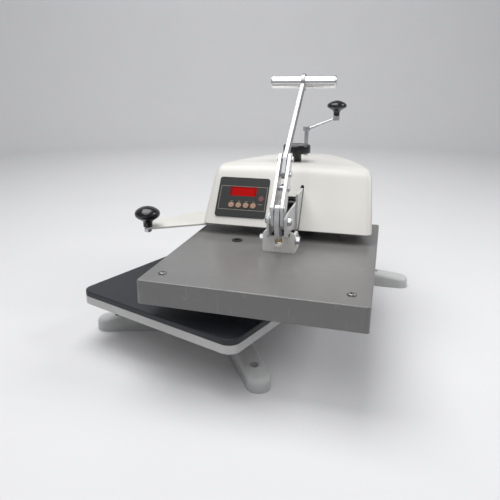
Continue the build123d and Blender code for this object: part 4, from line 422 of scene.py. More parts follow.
@dataclass(frozen=True)
class CastPaint(Finish):
    """Paint over a sand casting: lumpy at two scales, with painted shade in its hollows and near the floor.
    """

    grain: float = 420.0
    lumps: float = 70.0
    floor_shade_top: float = 0.03
    lump_depth: float = 0.00025

    def dress(self, shader: Shader) -> None:
        """Darkens the hollows of the casting's noise and the lowest few centimetres as painted shade, and
        lightens the edges as painted highlight and wear.
        """
        point = shader.point()
        normal, near_edge = shader.edges(self.edge)
        grain = shader.noise(point, self.grain, 4.0, 0.6)
        lumps = shader.noise(point, self.lumps, 3.0)
        height = shader.parts(point)[2]
        # Painted shade: darker over the lowest few centimetres above the floor, and in the lumps' hollows,
        # lighter on their tops
        dust_and_floor_shade = (1 - height.ramp(0.0, self.floor_shade_top)) * 0.18
        base = shader.mix(lumps, self.tinted(0.92), self.tinted(1.05))
        base = shader.mix(dust_and_floor_shade, base, self.tinted(0.6))
        # Lighter along every edge: a painted highlight, partly edge wear
        base = shader.mix(near_edge * 0.2, base, self.tinted(1.2))
        shader.wear(
            Base_Color=base,
            Roughness=self.roughness + 0.15 * (grain - 0.5),
            Normal=shader.bump(0.3 * grain + 0.7 * lumps, self.lump_depth, normal),
        )


@dataclass(frozen=True)
class Plated(Finish):
    """Bare or plated metal: fine lines along one direction, soft stains, and edges painted bright as
    highlight and wear.

    A metal share under one is a dull zinc or a clear lacquer, which scatters some light.
    """

    place: Place = HEAD
    stretch: tuple[float, float, float] = (1.0, 1.0, 1.0)
    lines: float = 900.0
    depth: float = 0.00001
    stains: float = 38.0
    stained: float = 0.5
    metal: float = 1.0

    def dress(self, shader: Shader) -> None:
        """Drives roughness and a small bump by noise that is stretched along the grain."""
        point = shader.point()
        normal, near_edge = shader.edges(self.edge)
        grain = shader.noise(shader.moved(point, self.place, self.stretch), self.lines, 3.0, 0.6)
        cloud = shader.noise(point, self.stains, 4.0, 0.6)
        base = shader.mix(cloud * self.stained, self.tinted(1.05), self.tinted(0.78))
        # Lighter along every edge: a painted highlight, partly worn edges
        base = shader.mix(near_edge * 0.5, base, self.tinted(1.3))
        shader.wear(
            Base_Color=base,
            Metallic=self.metal,
            Roughness=self.roughness + 0.2 * (grain - 0.5) + 0.16 * (cloud - 0.5),
            Normal=shader.bump(grain, self.depth, normal),
        )


@dataclass(frozen=True)
class Moulded(Finish):
    """Moulded plastic or rubber: even colour, a fine skin and a coat where it is glossy."""

    grain: float = 1500.0
    depth: float = 0.00001
    coat: float = 0.0
    handling: float = 60.0

    def dress(self, shader: Shader) -> None:
        """Lightens the colour a little by broad noise and along the edges as painted highlight and wear, and
        bumps the skin with fine noise.
        """
        point = shader.point()
        normal, near_edge = shader.edges(self.edge)
        skin = shader.noise(point, self.grain, 2.0)
        handled = shader.noise(point, self.handling, 4.0, 0.6)
        base = shader.mix(handled, self.colour, self.tinted(1.35))
        # Lighter along every edge: a painted highlight, partly scuffed edges
        base = shader.mix(near_edge * 0.3, base, self.tinted(1.8))
        shader.wear(
            Base_Color=base,
            Roughness=self.roughness + 0.12 * (handled - 0.5),
            Coat_Weight=self.coat,
            Coat_Roughness=0.12,
            Normal=shader.bump(skin, self.depth, normal),
        )


@dataclass(frozen=True)
class PadRubber(Finish):
    """Dark silicone sponge: pebbled skin, bluish sheen and pale dust."""

    pebbles: float = 650.0
    pebble_depth: float = 0.00008
    dust_and_floor_shade: Colour = (0.16, 0.17, 0.19)

    def dress(self, shader: Shader) -> None:
        """Bumps the skin by cells, and lifts the colour where dust gathers."""
        point = shader.point()
        cells = shader.node(
            "ShaderNodeTexVoronoi", {"feature": "SMOOTH_F1"}, {"Vector": point, "Scale": self.pebbles}
        )
        broad = shader.noise(point, 11.0, 5.0, 0.65)
        dust_and_floor_shade = shader.noise(point, 420.0, 4.0, 0.7).ramp(0.62, 0.8)
        base = shader.mix(broad, self.colour, self.tinted(1.6))
        base = shader.mix(dust_and_floor_shade * 0.25, base, self.dust_and_floor_shade)
        shader.wear(
            Base_Color=base,
            Roughness=self.roughness + 0.16 * (broad - 0.5),
            Normal=shader.bump(cells, self.pebble_depth),
        )


@dataclass(frozen=True)
class PanelPrint(Finish):
    """Charcoal label stock with a printed border, small tick marks and a satin skin.

    Marks are placed by x in the head's frame and by the way up the sloping face.
    """

    ink: Colour = (0.42, 0.36, 0.28)
    gloss: float = 0.3
    border_middle: tuple[float, float] = (-0.10525, 0.070)
    border_half: tuple[float, float] = (0.05675, 0.030)
    line_half: float = 0.0005
    tick_x: tuple[float, ...] = (-0.1308, -0.1129, -0.0950, -0.0770)
    tick_up: float = 0.0618
    tick_half: tuple[float, float] = (0.0028, 0.0005)
    dash: tuple[float, float] = (-0.0603, 0.0560)
    dash_half: tuple[float, float] = (0.0050, 0.0006)

    def dress(self, shader: Shader) -> None:
        """Prints lines where the distance from a rectangle or a short stroke is small."""
        point = shader.point()
        across, _, height = shader.parts(shader.moved(point, HEAD))
        up = shader.face_rise(height)
        edge_x = abs(across - self.border_middle[0]) - self.border_half[0]
        edge_up = abs(up - self.border_middle[1]) - self.border_half[1]
        marks = abs(edge_x.most(edge_up)) < self.line_half
        strokes = [((x, self.tick_up), self.tick_half) for x in self.tick_x]
        strokes.append((self.dash, self.dash_half))
        for middle, half in strokes:
            stroke = (abs(across - middle[0]) < half[0]) * (abs(up - middle[1]) < half[1])
            marks = stroke + marks
        speckle = shader.noise(point, 900.0, 2.0)
        broad = shader.noise(point, 20.0)
        base = shader.mix(broad, self.tinted(0.9), self.tinted(1.15))
        base = shader.mix(marks.least(1.0) * 0.8, base, self.ink)
        normal, near_edge = shader.edges(self.edge)
        # Lighter along every edge: a painted highlight, partly worn edges
        base = shader.mix(near_edge * 0.35, base, self.tinted(2.0))
        shader.wear(
            Base_Color=base,
            Roughness=self.roughness + 0.1 * (speckle - 0.5),
            Specular_IOR_Level=self.gloss,
            Normal=shader.bump(speckle, 0.00001, normal),
        )


@dataclass(frozen=True)
class PaintedGlowWindow(Finish):
    """A red display window behind tinted plastic, with a painted glow that is brighter in its middle."""

    glow: Colour = (0.72, 0.0, 0.0)
    power: float = 0.55
    gloss: float = 0.08
    middle: tuple[float, float] = (-0.1065, 0.0855)
    clear: tuple[float, float] = (0.024, 0.008)
    half: tuple[float, float] = (0.0325, 0.012)

    def dress(self, shader: Shader) -> None:
        """Dims the painted glow from the clear middle to the window's rim, and a little by noise; the colour
        also darkens towards the rim.
        """
        point = shader.point()
        across, _, height = shader.parts(shader.moved(point, HEAD))
        up = shader.face_rise(height)
        rim_x = abs(across - self.middle[0]).ramp(self.clear[0], self.half[0])
        rim_up = abs(up - self.middle[1]).ramp(self.clear[1], self.half[1])
        rim = rim_x.most(rim_up)
        uneven = shader.noise(point, 120.0, 3.0)
        # Painted light: the window is no lamp, and this glow stands in for its brightness
        painted_glow_share = (1 - 0.45 * rim) * (0.85 + 0.3 * (uneven - 0.5))
        shader.wear(
            Base_Color=shader.mix(rim, self.colour, self.tinted(0.6)),
            Roughness=self.roughness + 0.05 * (uneven - 0.5),
            Specular_IOR_Level=self.gloss,
            Emission_Color=shader.mix(painted_glow_share, (0.0, 0.0, 0.0), self.glow),
            Emission_Strength=self.power,
        )


class Finishes(Enum):
    """Every finish on the press."""

    CAST = CastPaint("cast_paint_grey", (0.66, 0.665, 0.66), 0.42, 0.002)
    TABLE = CastPaint("table_paint_grey", (0.66, 0.655, 0.645), 0.4, 0.0015)
    FOOT = Moulded("foot_rubber", (0.02, 0.02, 0.02), 0.7)
    PAD = PadRubber("pad_silicone", (0.014, 0.017, 0.022), 0.5)
    COVER = PowderCoat("cover_powder_coat", (0.76, 0.745, 0.70), 0.33, 0.0012)
    ARM = PowderCoat("arm_powder_coat", (0.66, 0.665, 0.66), 0.35, 0.0008)
    SHROUD = ScratchedPaint("shroud_satin_paint", (0.185, 0.181, 0.177), 0.3, 0.0016, peel=900.0)
    STEEL = Plated("machined_steel", (0.56, 0.56, 0.58), 0.34, stretch=(1.0, 1.0, 12.0))
    ZINC = Plated("zinc_plate", (0.60, 0.61, 0.63), 0.3)
    SCREW = Plated("screw_black_zinc", (0.33, 0.32, 0.31), 0.36)
    STRAP = Plated("strap_zinc", (0.84, 0.845, 0.85), 0.38, stretch=(6.0, 1.0, 1.0), lines=500.0, metal=0.7)
    BAR = Plated("lever_steel", (0.42, 0.425, 0.435), 0.42, stretch=(6.0, 1.0, 1.0), lines=500.0)
    BRACKET = Plated("bracket_zinc", (0.92, 0.905, 0.86), 0.42, 0.0008, lines=300.0, metal=0.1)
    LINK = Plated("link_steel", (0.80, 0.81, 0.83), 0.36, stretch=(8.0, 1.0, 1.0), lines=600.0, metal=0.6)
    ALUMINIUM = Plated(
        "turned_aluminium", (0.86, 0.86, 0.865), 0.27, stretch=(14.0, 1.0, 1.0), lines=260.0
    )
    PLATE = Plated("heated_aluminium", (0.74, 0.74, 0.75), 0.3, stretch=(1.0, 14.0, 1.0))
    BRASS = Plated("turned_brass", (0.70, 0.50, 0.24), 0.26, stretch=(10.0, 1.0, 1.0))
    BRONZE = Plated("bush_bronze", (0.55, 0.37, 0.2), 0.35)
    KNOB = Moulded("phenolic_black", (0.005, 0.005, 0.006), 0.26, 0.0006, depth=0.000004, coat=0.35)
    PANEL = PanelPrint("panel_charcoal_print", (0.022, 0.026, 0.025), 0.55, 0.0005)
    DISPLAY = PaintedGlowWindow("display_red_window", (0.08, 0.0, 0.0), 0.6, 0.0002)
    BUTTON = Moulded("button_tan", (0.32, 0.19, 0.125), 0.5, 0.0006, depth=0.00002)
    LAMP = Moulded("lamp_red", (0.10, 0.008, 0.008), 0.35, 0.0004, coat=0.2)
    BOARD = Moulded("board_green", (0.02, 0.12, 0.05), 0.4)
    INLET = Moulded("socket_black", (0.018, 0.018, 0.018), 0.42, 0.0005)
    INSULATION = Moulded("insulation_board", (0.62, 0.60, 0.52), 0.85, grain=500.0, depth=0.0002)

    def material(self) -> bpy.types.Material:
        """The finish's material."""
        return self.value.material()


# Which finish each kept node of the frame wears
WORN: dict[Finishes, tuple[str, ...]] = {
    Finishes.CAST: ("base_casting", "table_pedestal"),
    Finishes.TABLE: ("table_plate",),
    Finishes.FOOT: ("foot_pads", "cable_grommet", "stop_foot"),
    Finishes.PAD: ("table_pad",),
    Finishes.COVER: ("cover_shell", "chassis_plate"),
    Finishes.ARM: ("arm_plates",),
    Finishes.SHROUD: ("platen_shroud",),
    Finishes.STEEL: (
        "swing_post",
        "post_key",
        "lift_sleeve",
        "sleeve_cap",
        "spindle_collar",
        "guide_rods",
        "strongback",
        "heating_element",
        "stop_stud",
        "guide_blocks",
        "stop_block",
        "swing_hub",
    ),
    Finishes.ZINC: (
        "table_screws",
        "crank_spindle",
        "crank_arm",
        "crank_bolt",
        "arm_bolts",
        "head_screws",
        "swing_stud",
        "pivot_bolt",
        "lever_pins",
        "bracket_bolt",
        "platen_screws",
    ),
    Finishes.STRAP: ("lever_straps",),
    Finishes.BAR: ("lever_bar",),
    Finishes.BRACKET: ("pressure_bracket",),
    Finishes.LINK: ("toggle_link",),
    Finishes.ALUMINIUM: ("grip_tube", "grip_caps"),
    Finishes.PLATE: ("heat_plate",),
    Finishes.BRASS: ("brass_roller",),
    Finishes.BRONZE: ("thrust_washer", "guide_bushes"),
    Finishes.KNOB: ("crank_knob", "swing_knob", "hand_knob"),
    Finishes.PANEL: ("panel_bezel",),
    Finishes.DISPLAY: ("display_window",),
    Finishes.BUTTON: ("button_1", "button_2", "button_3", "button_4"),
    Finishes.LAMP: ("status_lamp",),
    Finishes.BOARD: ("controller_board",),
    Finishes.INLET: ("power_inlet", "power_switch", "power_rocker", "power_relay"),
    Finishes.INSULATION: ("insulation_board",),
}


def dress_frame() -> None:
    """Gives every node of the frame the finish that WORN names for it."""
    for finish, names in WORN.items():
        for name in names:
            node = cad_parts[name]
            node.data.materials.clear()
            node.data.materials.append(finish.material())
    LOG.info("dressed %d nodes of the frame", len(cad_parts))


# Meshes


def grid_faces(rows: int, columns: int, round_rows: bool, round_columns: bool) -> np.ndarray:
    """Quads between neighbours of a grid, by the numbers of their corners.

    Args:
        rows: How many rows of points there are.
        columns: How many points a row has.
        round_rows: Whether the last row meets the first.
        round_columns: Whether the last column meets the first.

    Returns:
        One row of four vertex numbers to each quad.
    """
    number = np.arange(rows * columns).reshape(rows, columns)
    if round_rows:
        number = np.vstack([number, number[:1]])
    if round_columns:
        number = np.hstack([number, number[:, :1]])
    corners = (number[:-1, :-1], number[:-1, 1:], number[1:, 1:], number[1:, :-1])
    return np.stack([corner.ravel() for corner in corners], axis=1)


def make_object(name: str, points: np.ndarray, faces: Faces) -> bpy.types.Object:
    """Puts points and faces into a new object, merges doubles and turns the faces outwards.

    Args:
        name: The object's name.
        points: Its vertices, in the last axis of the array.
        faces: Vertex numbers, one row to each face.

    Returns:
        The object, linked to the scene.
    """
    mesh = bpy.data.meshes.new(name)
    mesh.from_pydata(points.reshape(-1, 3), [], faces)
    made = bpy.data.objects.new(name, mesh)
    bpy.context.scene.collection.objects.link(made)
    work = bmesh.new()
    work.from_mesh(mesh)
    bmesh.ops.remove_doubles(work, verts=work.verts, dist=1e-6)
    bmesh.ops.dissolve_degenerate(work, edges=work.edges, dist=1e-7)
    bmesh.ops.recalc_face_normals(work, faces=work.faces)
    work.to_mesh(mesh)
    work.free()
    return made


def smooth(piece: bpy.types.Object, angle: float = 35.0) -> bpy.types.Object:
    """Shades a piece smooth, apart from edges sharper than an angle in degrees."""
    piece.data.shade_smooth()
    piece.data.set_sharp_from_angle(angle=math.radians(angle))
    return piece


def join(name: str, pieces: Sequence[bpy.types.Object]) -> bpy.types.Object:
    """Makes one object of several, and removes them.

    Args:
        name: The new object's name.
        pieces: The objects.

    Returns:
        The object that holds all their faces.
    """
    work = bmesh.new()
    for piece in pieces:
        work.from_mesh(piece.data)
        bpy.data.objects.remove(piece)
    mesh = bpy.data.meshes.new(name)
    work.to_mesh(mesh)
    work.free()
    made = bpy.data.objects.new(name, mesh)
    bpy.context.scene.collection.objects.link(made)
    return made


def apply_modifier(piece: bpy.types.Object, kind: str, **settings: Any) -> None:
    """Adds one modifier and puts its result into the mesh.

    Args:
        piece: The object.
        kind: The modifier's type.
        settings: The modifier's own properties.
    """
    modifier = piece.modifiers.new(kind.lower(), kind)
    for name, value in settings.items():
        setattr(modifier, name, value)
    bpy.context.view_layer.update()
    graph = bpy.context.evaluated_depsgraph_get()
    mesh = bpy.data.meshes.new_from_object(piece.evaluated_get(graph))
    old = piece.data
    piece.modifiers.clear()
    piece.data = mesh
    bpy.data.meshes.remove(old)


def lathe(
    name: str,
    profile: np.ndarray,
    place: Place,
    centre: Sequence[float],
    axis: str = "z",
    sides: int = 96,
) -> bpy.types.Object:
    """Turns a profile about an axis: every point goes round at its own radius and height.

    Args:
        name: The piece's name.
        profile: Radius and height along the axis, one row to each point.
        place: The frame that the centre and the axis are in.
        centre: The point on the axis where the height is nought.
        axis: The frame's axis to turn about, "x" or "z".
        sides: How many points go round.

    Returns:
        The piece.
    """
    turn = np.linspace(0.0, 2 * math.pi, sides, endpoint=False)
    radius, height = profile[:, :1], profile[:, 1:2]
    wide, deep = radius * np.cos(turn), radius * np.sin(turn)
    along = np.broadcast_to(height, wide.shape)
    order = (wide, deep, along) if axis == "z" else (along, wide, deep)
    local = np.stack(order, axis=-1) + np.array(centre)
    faces = grid_faces(len(profile), sides, False, True)
    return make_object(name, place.points(local), faces)


def arc(centre: Sequence[float], radius: float, start: float, stop: float, count: int) -> np.ndarray:
    """Points of a circle in a plane: the centre plus the radius times cosine and sine.

    Args:
        centre: The circle's middle.
        radius: Its radius.
        start: The first point's angle in degrees.
        stop: The last point's angle in degrees.
        count: How many points there are.

    Returns:
        One row to each point.
    """
    turn = np.radians(np.linspace(start, stop, count))
    return np.stack([centre[0] + radius * np.cos(turn), centre[1] + radius * np.sin(turn)], axis=1)


def smooth_line(knots: Sequence[Sequence[float]], count: int) -> np.ndarray:
    """A soft line through knots: between two knots, a cubic that leaves each one along the
    line between its neighbours.

    Args:
        knots: Points in a plane.
        count: How many points the line has.

    Returns:
        The line's points, evenly spread over the knots' count.
    """
    given = np.array(knots, float)
    ends = np.vstack([2 * given[0] - given[1], given, 2 * given[-1] - given[-2]])
    where = np.linspace(0.0, len(given) - 1.0, count)
    left = np.minimum(where.astype(int), len(given) - 2)
    t = (where - left)[:, None]
    a, b, c, d = (ends[left + shift] for shift in range(4))
    return 0.5 * (
        2 * b + (c - a) * t + (2 * a - 5 * b + 4 * c - d) * t**2 + (3 * b - a - 3 * c + d) * t**3
    )


def prism(name: str, outline: np.ndarray, near: float, far: float) -> bpy.types.Object:
    """Draws an outline out along the head's y.

    Args:
        name: The object's name.
        outline: Points in the head's x and z.
        near: The y of one end.
        far: The y of the other end.

    Returns:
        The closed prism.
    """
    count = len(outline)
    rows = [np.column_stack([outline[:, 0], np.full(count, y), outline[:, 1]]) for y in (near, far)]
    walls = grid_faces(2, count, False, True).tolist()
    ends = [list(range(count)), list(range(count, 2 * count))]
    return make_object(name, HEAD.points(np.vstack(rows)), walls + ends)


def disc(radius: float, near: float, far: float, soft: float = 0.0004) -> np.ndarray:
    """The profile of a round bar with small bevels at both ends, for the lathe.

    Args:
        radius: The bar's radius.
        near: The height of one end.
        far: The height of the other end.
        soft: How wide the bevels are.

    Returns:
        Radius and height, one row to each point.
    """
    inner, way = radius - soft, math.copysign(soft, far - near)
    return np.array(
        [[0.0, near], [inner, near], [radius, near + way], [radius, far - way], [inner, far], [0.0, far]]
    )


def nut(
    centre: Sequence[float], radius: float, height: float, place: Place = HEAD, axis: str = "x"
) -> bpy.types.Object:
    """A hexagon's head: its rim is the hexagon's, cut at the outer end by a cone of 30 degrees.

    Args:
        centre: The middle of the face it sits on, in the place's frame.
        radius: From the middle to a corner.
        height: How far it stands out along the axis; negative for the other way.
        place: The frame.
        axis: The frame's axis it points along, "x" or "z".

    Returns:
        The head.
    """
    turn = np.linspace(0.0, 2 * math.pi, 72, endpoint=False)
    flat = radius * math.cos(math.pi / 6)
    rim = flat / np.cos(np.mod(turn, math.pi / 3) - math.pi / 6)
    cone = np.minimum(rim, 0.98 * flat)
    none = np.zeros_like(turn)
    radii = np.stack([none, rim, rim, cone, none])
    shoulder = abs(height) - (rim - cone) * math.tan(math.pi / 6)
    full = np.full_like(turn, abs(height))
    along = math.copysign(1.0, height) * np.stack([none, none, shoulder, full, full])
    wide, deep = radii * np.cos(turn), radii * np.sin(turn)
    order = (wide, deep, along) if axis == "z" else (along, wide, deep)
    local = np.stack(order, axis=-1) + np.array(centre)
    return make_object("nut", place.points(local), grid_faces(5, len(turn), False, True))


def finished(
    piece: bpy.types.Object, finish: Finishes, body: str, slot: str, *nodes: str
) -> bpy.types.Object:
    """Dresses a new piece, puts it on its body and says what it stands for.

    Args:
        piece: The new piece.
        finish: What it wears.
        body: The body it rides on.
        slot: The record's material slot; not used.
        nodes: The frame's nodes that it stands for.

    Returns:
        The same piece.
    """
    piece.data.materials.clear()
    piece.data.materials.append(finish.material())
    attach(piece, body)
    if nodes:
        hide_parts(*nodes)
    LOG.info("%s: %d faces on %s", piece.name, len(piece.data.polygons), body)
    return piece


# Sub-assemblies


@dataclass
class Cover:
    """The sheet cover: a sloping front, a bend, a cambered top and curved sides.

    Half widths are given at three depths. The top's rise is met at the depth top_y, and the top
    falls towards the rear. The arm's opening has its left, right and rise above the rim, and a
    round hole its x, y and radius.
    """

    wall: float = 0.003
    front_y: float = FACE_Y
    front_half: float = 0.197
    mid_y: float = 0.220
    mid_half: float = 0.172
    rear_y: float = 0.436
    rear_half: float = 0.073
    lean: float = FACE_LEAN
    top_rise: float = 0.1342
    top_y: float = 0.187
    fall: float = 0.035
    camber_radius: float = 3.0
    bend_radius: float = 0.045
    edge_radius: float = 0.014
    opening: tuple[float, float, float] = (-0.016, 0.034, 0.067)
    cheek_slots: tuple[tuple[float, float], ...] = ((-0.0185, -0.0105), (0.0285, 0.0365))
    cheek_rise: float = 0.088
    knob_hole: tuple[float, float, float] = (0.0, 0.228, 0.0135)
    shaft_hole: tuple[float, float, float] = (0.0, AXIS_BEHIND, 0.007)
    hole_span: tuple[float, float] = (0.3, 0.42)
    slot_foot: float = 0.1
    below: float = 0.03
    skirt: float = 0.06
    end_strip: float = 0.024
    front_camber: float = 0.35
    front_rows: int = 24
    bend_rows: int = 8
    top_rows: int = 28
    columns: int = 7

    def half_width(self, y: np.ndarray) -> np.ndarray:
        """Half the width: the side is the circle through its front, middle and rear points.

        Args:
            y: Depths in the head's frame.

        Returns:
            Half the width at each depth.
        """
        given = ((self.front_half, self.front_y), (self.mid_half, self.mid_y), (self.rear_half, self.rear_y))
        (ax, ay), (bx, by), (cx, cy) = given
        twice = 2 * (ax * (by - cy) + bx * (cy - ay) + cx * (ay - by))
        a2, b2, c2 = ax**2 + ay**2, bx**2 + by**2, cx**2 + cy**2
        x = (a2 * (by - cy) + b2 * (cy - ay) + c2 * (ay - by)) / twice
        middle = (a2 * (cx - bx) + b2 * (ax - cx) + c2 * (bx - ax)) / twice
        radius = math.hypot(ax - x, ay - middle)
        return x + np.sqrt(radius**2 - (y - middle) ** 2)

    def profile(self) -> tuple[np.ndarray, np.ndarray]:
        """The line from under the front rim up the slope, round the bend and back along the top.

        Returns:
            Depth and height of each point, and how much of the camber it has.
        """
        rise = (self.top_rise + self.fall * (self.top_y - self.front_y)) / (1 + self.fall * self.lean)
        corner = np.array([self.front_y + self.lean * rise, COVER_Z + rise])
        up = np.array([self.lean, 1.0]) / math.hypot(self.lean, 1.0)
        back = np.array([1.0, -self.fall]) / math.hypot(1.0, self.fall)
        bend = math.acos(float(up @ back))
        reach = self.bend_radius * math.tan(bend / 2)
        start = np.array([self.front_y - self.lean * self.below, COVER_Z - self.below])
        slope = np.linspace(start, corner - up * reach, self.front_rows)
        centre = corner - up * reach + self.bend_radius * np.array([up[1], -up[0]])
        first = math.degrees(math.atan2(*(corner - up * reach - centre)[::-1]))
        last_angle = first - math.degrees(bend)
        bent = arc(centre, self.bend_radius, first, last_angle, self.bend_rows + 1)[1:]
        last = corner + back * reach
        rear = np.array([self.rear_y, last[1] - self.fall * (self.rear_y - last[0])])
        kept = rear + (last - rear) * self.end_strip / np.linalg.norm(last - rear)
        top = np.vstack([np.linspace(last, kept, self.top_rows)[1:], rear])
        growing = np.linspace(self.front_camber, 1.0, self.bend_rows + 1)[1:]
        share = np.concatenate(
            [np.full(self.front_rows, self.front_camber), growing, np.ones(self.top_rows)]
        )
        return np.vstack([slope, bent, top]), share

    def build(self) -> bpy.types.Object:
        """Crosses the profile with lines over the width that sink by the camber's parabola,
        hangs vertical walls from their ends, rounds the edges and cuts the openings."""
        line, share = self.profile()
        half = self.half_width(line[:, 0])
        across = np.linspace(-1.0, 1.0, self.columns)
        x = half[:, None] * across
        y = np.broadcast_to(line[:, :1], x.shape)
        z = line[:, 1:] - share[:, None] * x**2 / (2 * self.camber_radius)
        top = np.stack([x, y, z], axis=-1)
        edge = np.concatenate([top[:, 0], top[-1, 1:-1], top[::-1, -1]])
        foot = edge * np.array([1.0, 1.0, 0.0]) + np.array([0.0, 0.0, COVER_Z - self.below - self.skirt])
        skirt = grid_faces(2, len(edge), False, False) + top.size // 3
        faces = np.vstack([grid_faces(len(line), len(across), False, False), skirt])
        points = np.vstack([top.reshape(-1, 3), edge, foot])
        piece = make_object("cover_sheet", HEAD.points(points), faces)
        apply_modifier(
            piece,
            "BEVEL",
            width=self.edge_radius,
            segments=6,
            limit_method="ANGLE",
            angle_limit=math.radians(40),
            use_clamp_overlap=False,
        )
        self.trim(piece)
        apply_modifier(piece, "SOLIDIFY", thickness=self.wall, offset=-1.0, use_even_offset=True)
        self.cut(piece)
        return finished(smooth(piece), Finishes.COVER, "head", "cover_paint", "cover_shell")

    def trim(self, piece: bpy.types.Object) -> None:
        """Cuts away what is below the rim."""
        work = bmesh.new()
        work.from_mesh(piece.data)
        bmesh.ops.bisect_plane(
            work,
            geom=[*work.verts, *work.edges, *work.faces],
            plane_co=(0.0, 0.0, COVER_Z),
            plane_no=(0.0, 0.0, 1.0),
            clear_inner=True,
        )
        work.to_mesh(piece.data)
        work.free()

    def cut(self, piece: bpy.types.Object) -> None:
        """Cuts the arm's opening, the cheeks' slots and the round holes through the sheet."""
        left, right, rise = self.opening
        low, high = self.slot_foot, COVER_Z + rise
        square = np.array([[left, low], [right, low], [right, high], [left, high]])
        cutters = [prism("opening_cutter", square, 0.0, self.top_y)]
        for left, right in self.cheek_slots:
            middle = ((left + right) / 2, COVER_Z + self.cheek_rise)
            top = arc(middle, (right - left) / 2, 0.0, 180.0, 17)
            outline = np.vstack([[[left, low], [right, low]], top])
            cutters.append(prism("slot_cutter", outline, 0.0, self.top_y))
        near, far = self.hole_span
        for x, y, radius in (self.knob_hole, self.shaft_hole):
            rod = np.array([[0.0, near], [radius, near], [radius, far], [0.0, far]])
            cutters.append(lathe("hole_cutter", rod, HEAD, (x, y, 0.0), sides=64))
        for cutter in cutters:
            apply_modifier(piece, "BOOLEAN", object=cutter, operation="DIFFERENCE", solver="EXACT")
            bpy.data.objects.remove(cutter)


@dataclass
class Pad:
    """The soft pad on the table: a rounded rectangle with soft edges."""

    half_x: float = 0.203
    half_y: float = 0.254
    corner: float = 0.025
    low: float = 0.1117
    high: float = 0.1237
    edge: float = 0.0022

    def ring(self, inset: float, height: float) -> np.ndarray:
        """The outline moved inwards: four quarter circles about the corners' centres.

        Args:
            inset: How far it is moved inwards.
            height: Its height above the floor.

        Returns:
            The ring's points, in the table's frame.
        """
        turn = np.radians(np.linspace(0.0, 90.0, 13))[None, :] + np.radians([[0], [90], [180], [270]])
        radius = self.corner - inset
        side_x = np.array([[1], [-1], [-1], [1]]) * (self.half_x - self.corner)
        side_y = np.array([[1], [1], [-1], [-1]]) * (self.half_y - self.corner)
        x, y = side_x + radius * np.cos(turn), side_y + radius * np.sin(turn)
        return np.stack([x, y, np.full(x.shape, height)], axis=-1).reshape(-1, 3)

    def build(self) -> bpy.types.Object:
        """Stacks rings that follow a quarter circle at the top and a small one at the bottom."""
        small = self.edge / 3
        foot = arc((small, self.low + small), small, -90.0, -180.0, 4)
        head = arc((self.edge, self.high - self.edge), self.edge, 180.0, 90.0, 9)
        rings = [self.ring(inset, height) for inset, height in np.vstack([foot, head])]
        count = len(rings[0])
        faces = grid_faces(len(rings), count, False, True).tolist()
        faces.append(list(range(count)))
        faces.append(list(range((len(rings) - 1) * count, len(rings) * count)))
        piece = make_object("soft_pad", TABLE.points(np.vstack(rings)), faces)
        finished(smooth(piece, 30.0), Finishes.PAD, "base", "pad_rubber", "table_pad")
        return piece


@dataclass
class Grip:
    """The T-grip: a polished tube with caps, along the head's x axis."""

    middle: tuple[float, float, float] = (0.009, 0.243, 0.556)
    length: float = 0.157
    radius: float = 0.015
    cap: float = 0.003
    groove: float = 0.0004

    def build(self) -> bpy.types.Object:
        """Turns a profile with round ends and a fine groove where each cap meets the tube."""
        half = self.length / 2
        seam = half - self.cap
        end = arc((half - self.cap, self.radius - self.cap), self.cap, 0.0, 90.0, 8)
        right = np.vstack(
            [
                [[half, 0.0]],
                end,
                [[seam - self.groove, self.radius - self.groove], [seam - 2 * self.groove, self.radius]],
                [[half / 2, self.radius]],
            ]
        )[:, ::-1]
        left = right[::-1] * np.array([1.0, -1.0])
        piece = lathe("grip_bar", np.vstack([right, left]), HEAD, self.middle, "x")
        nodes = ("grip_tube", "grip_caps")
        return finished(smooth(piece), Finishes.ALUMINIUM, "lever", "aluminium", *nodes)


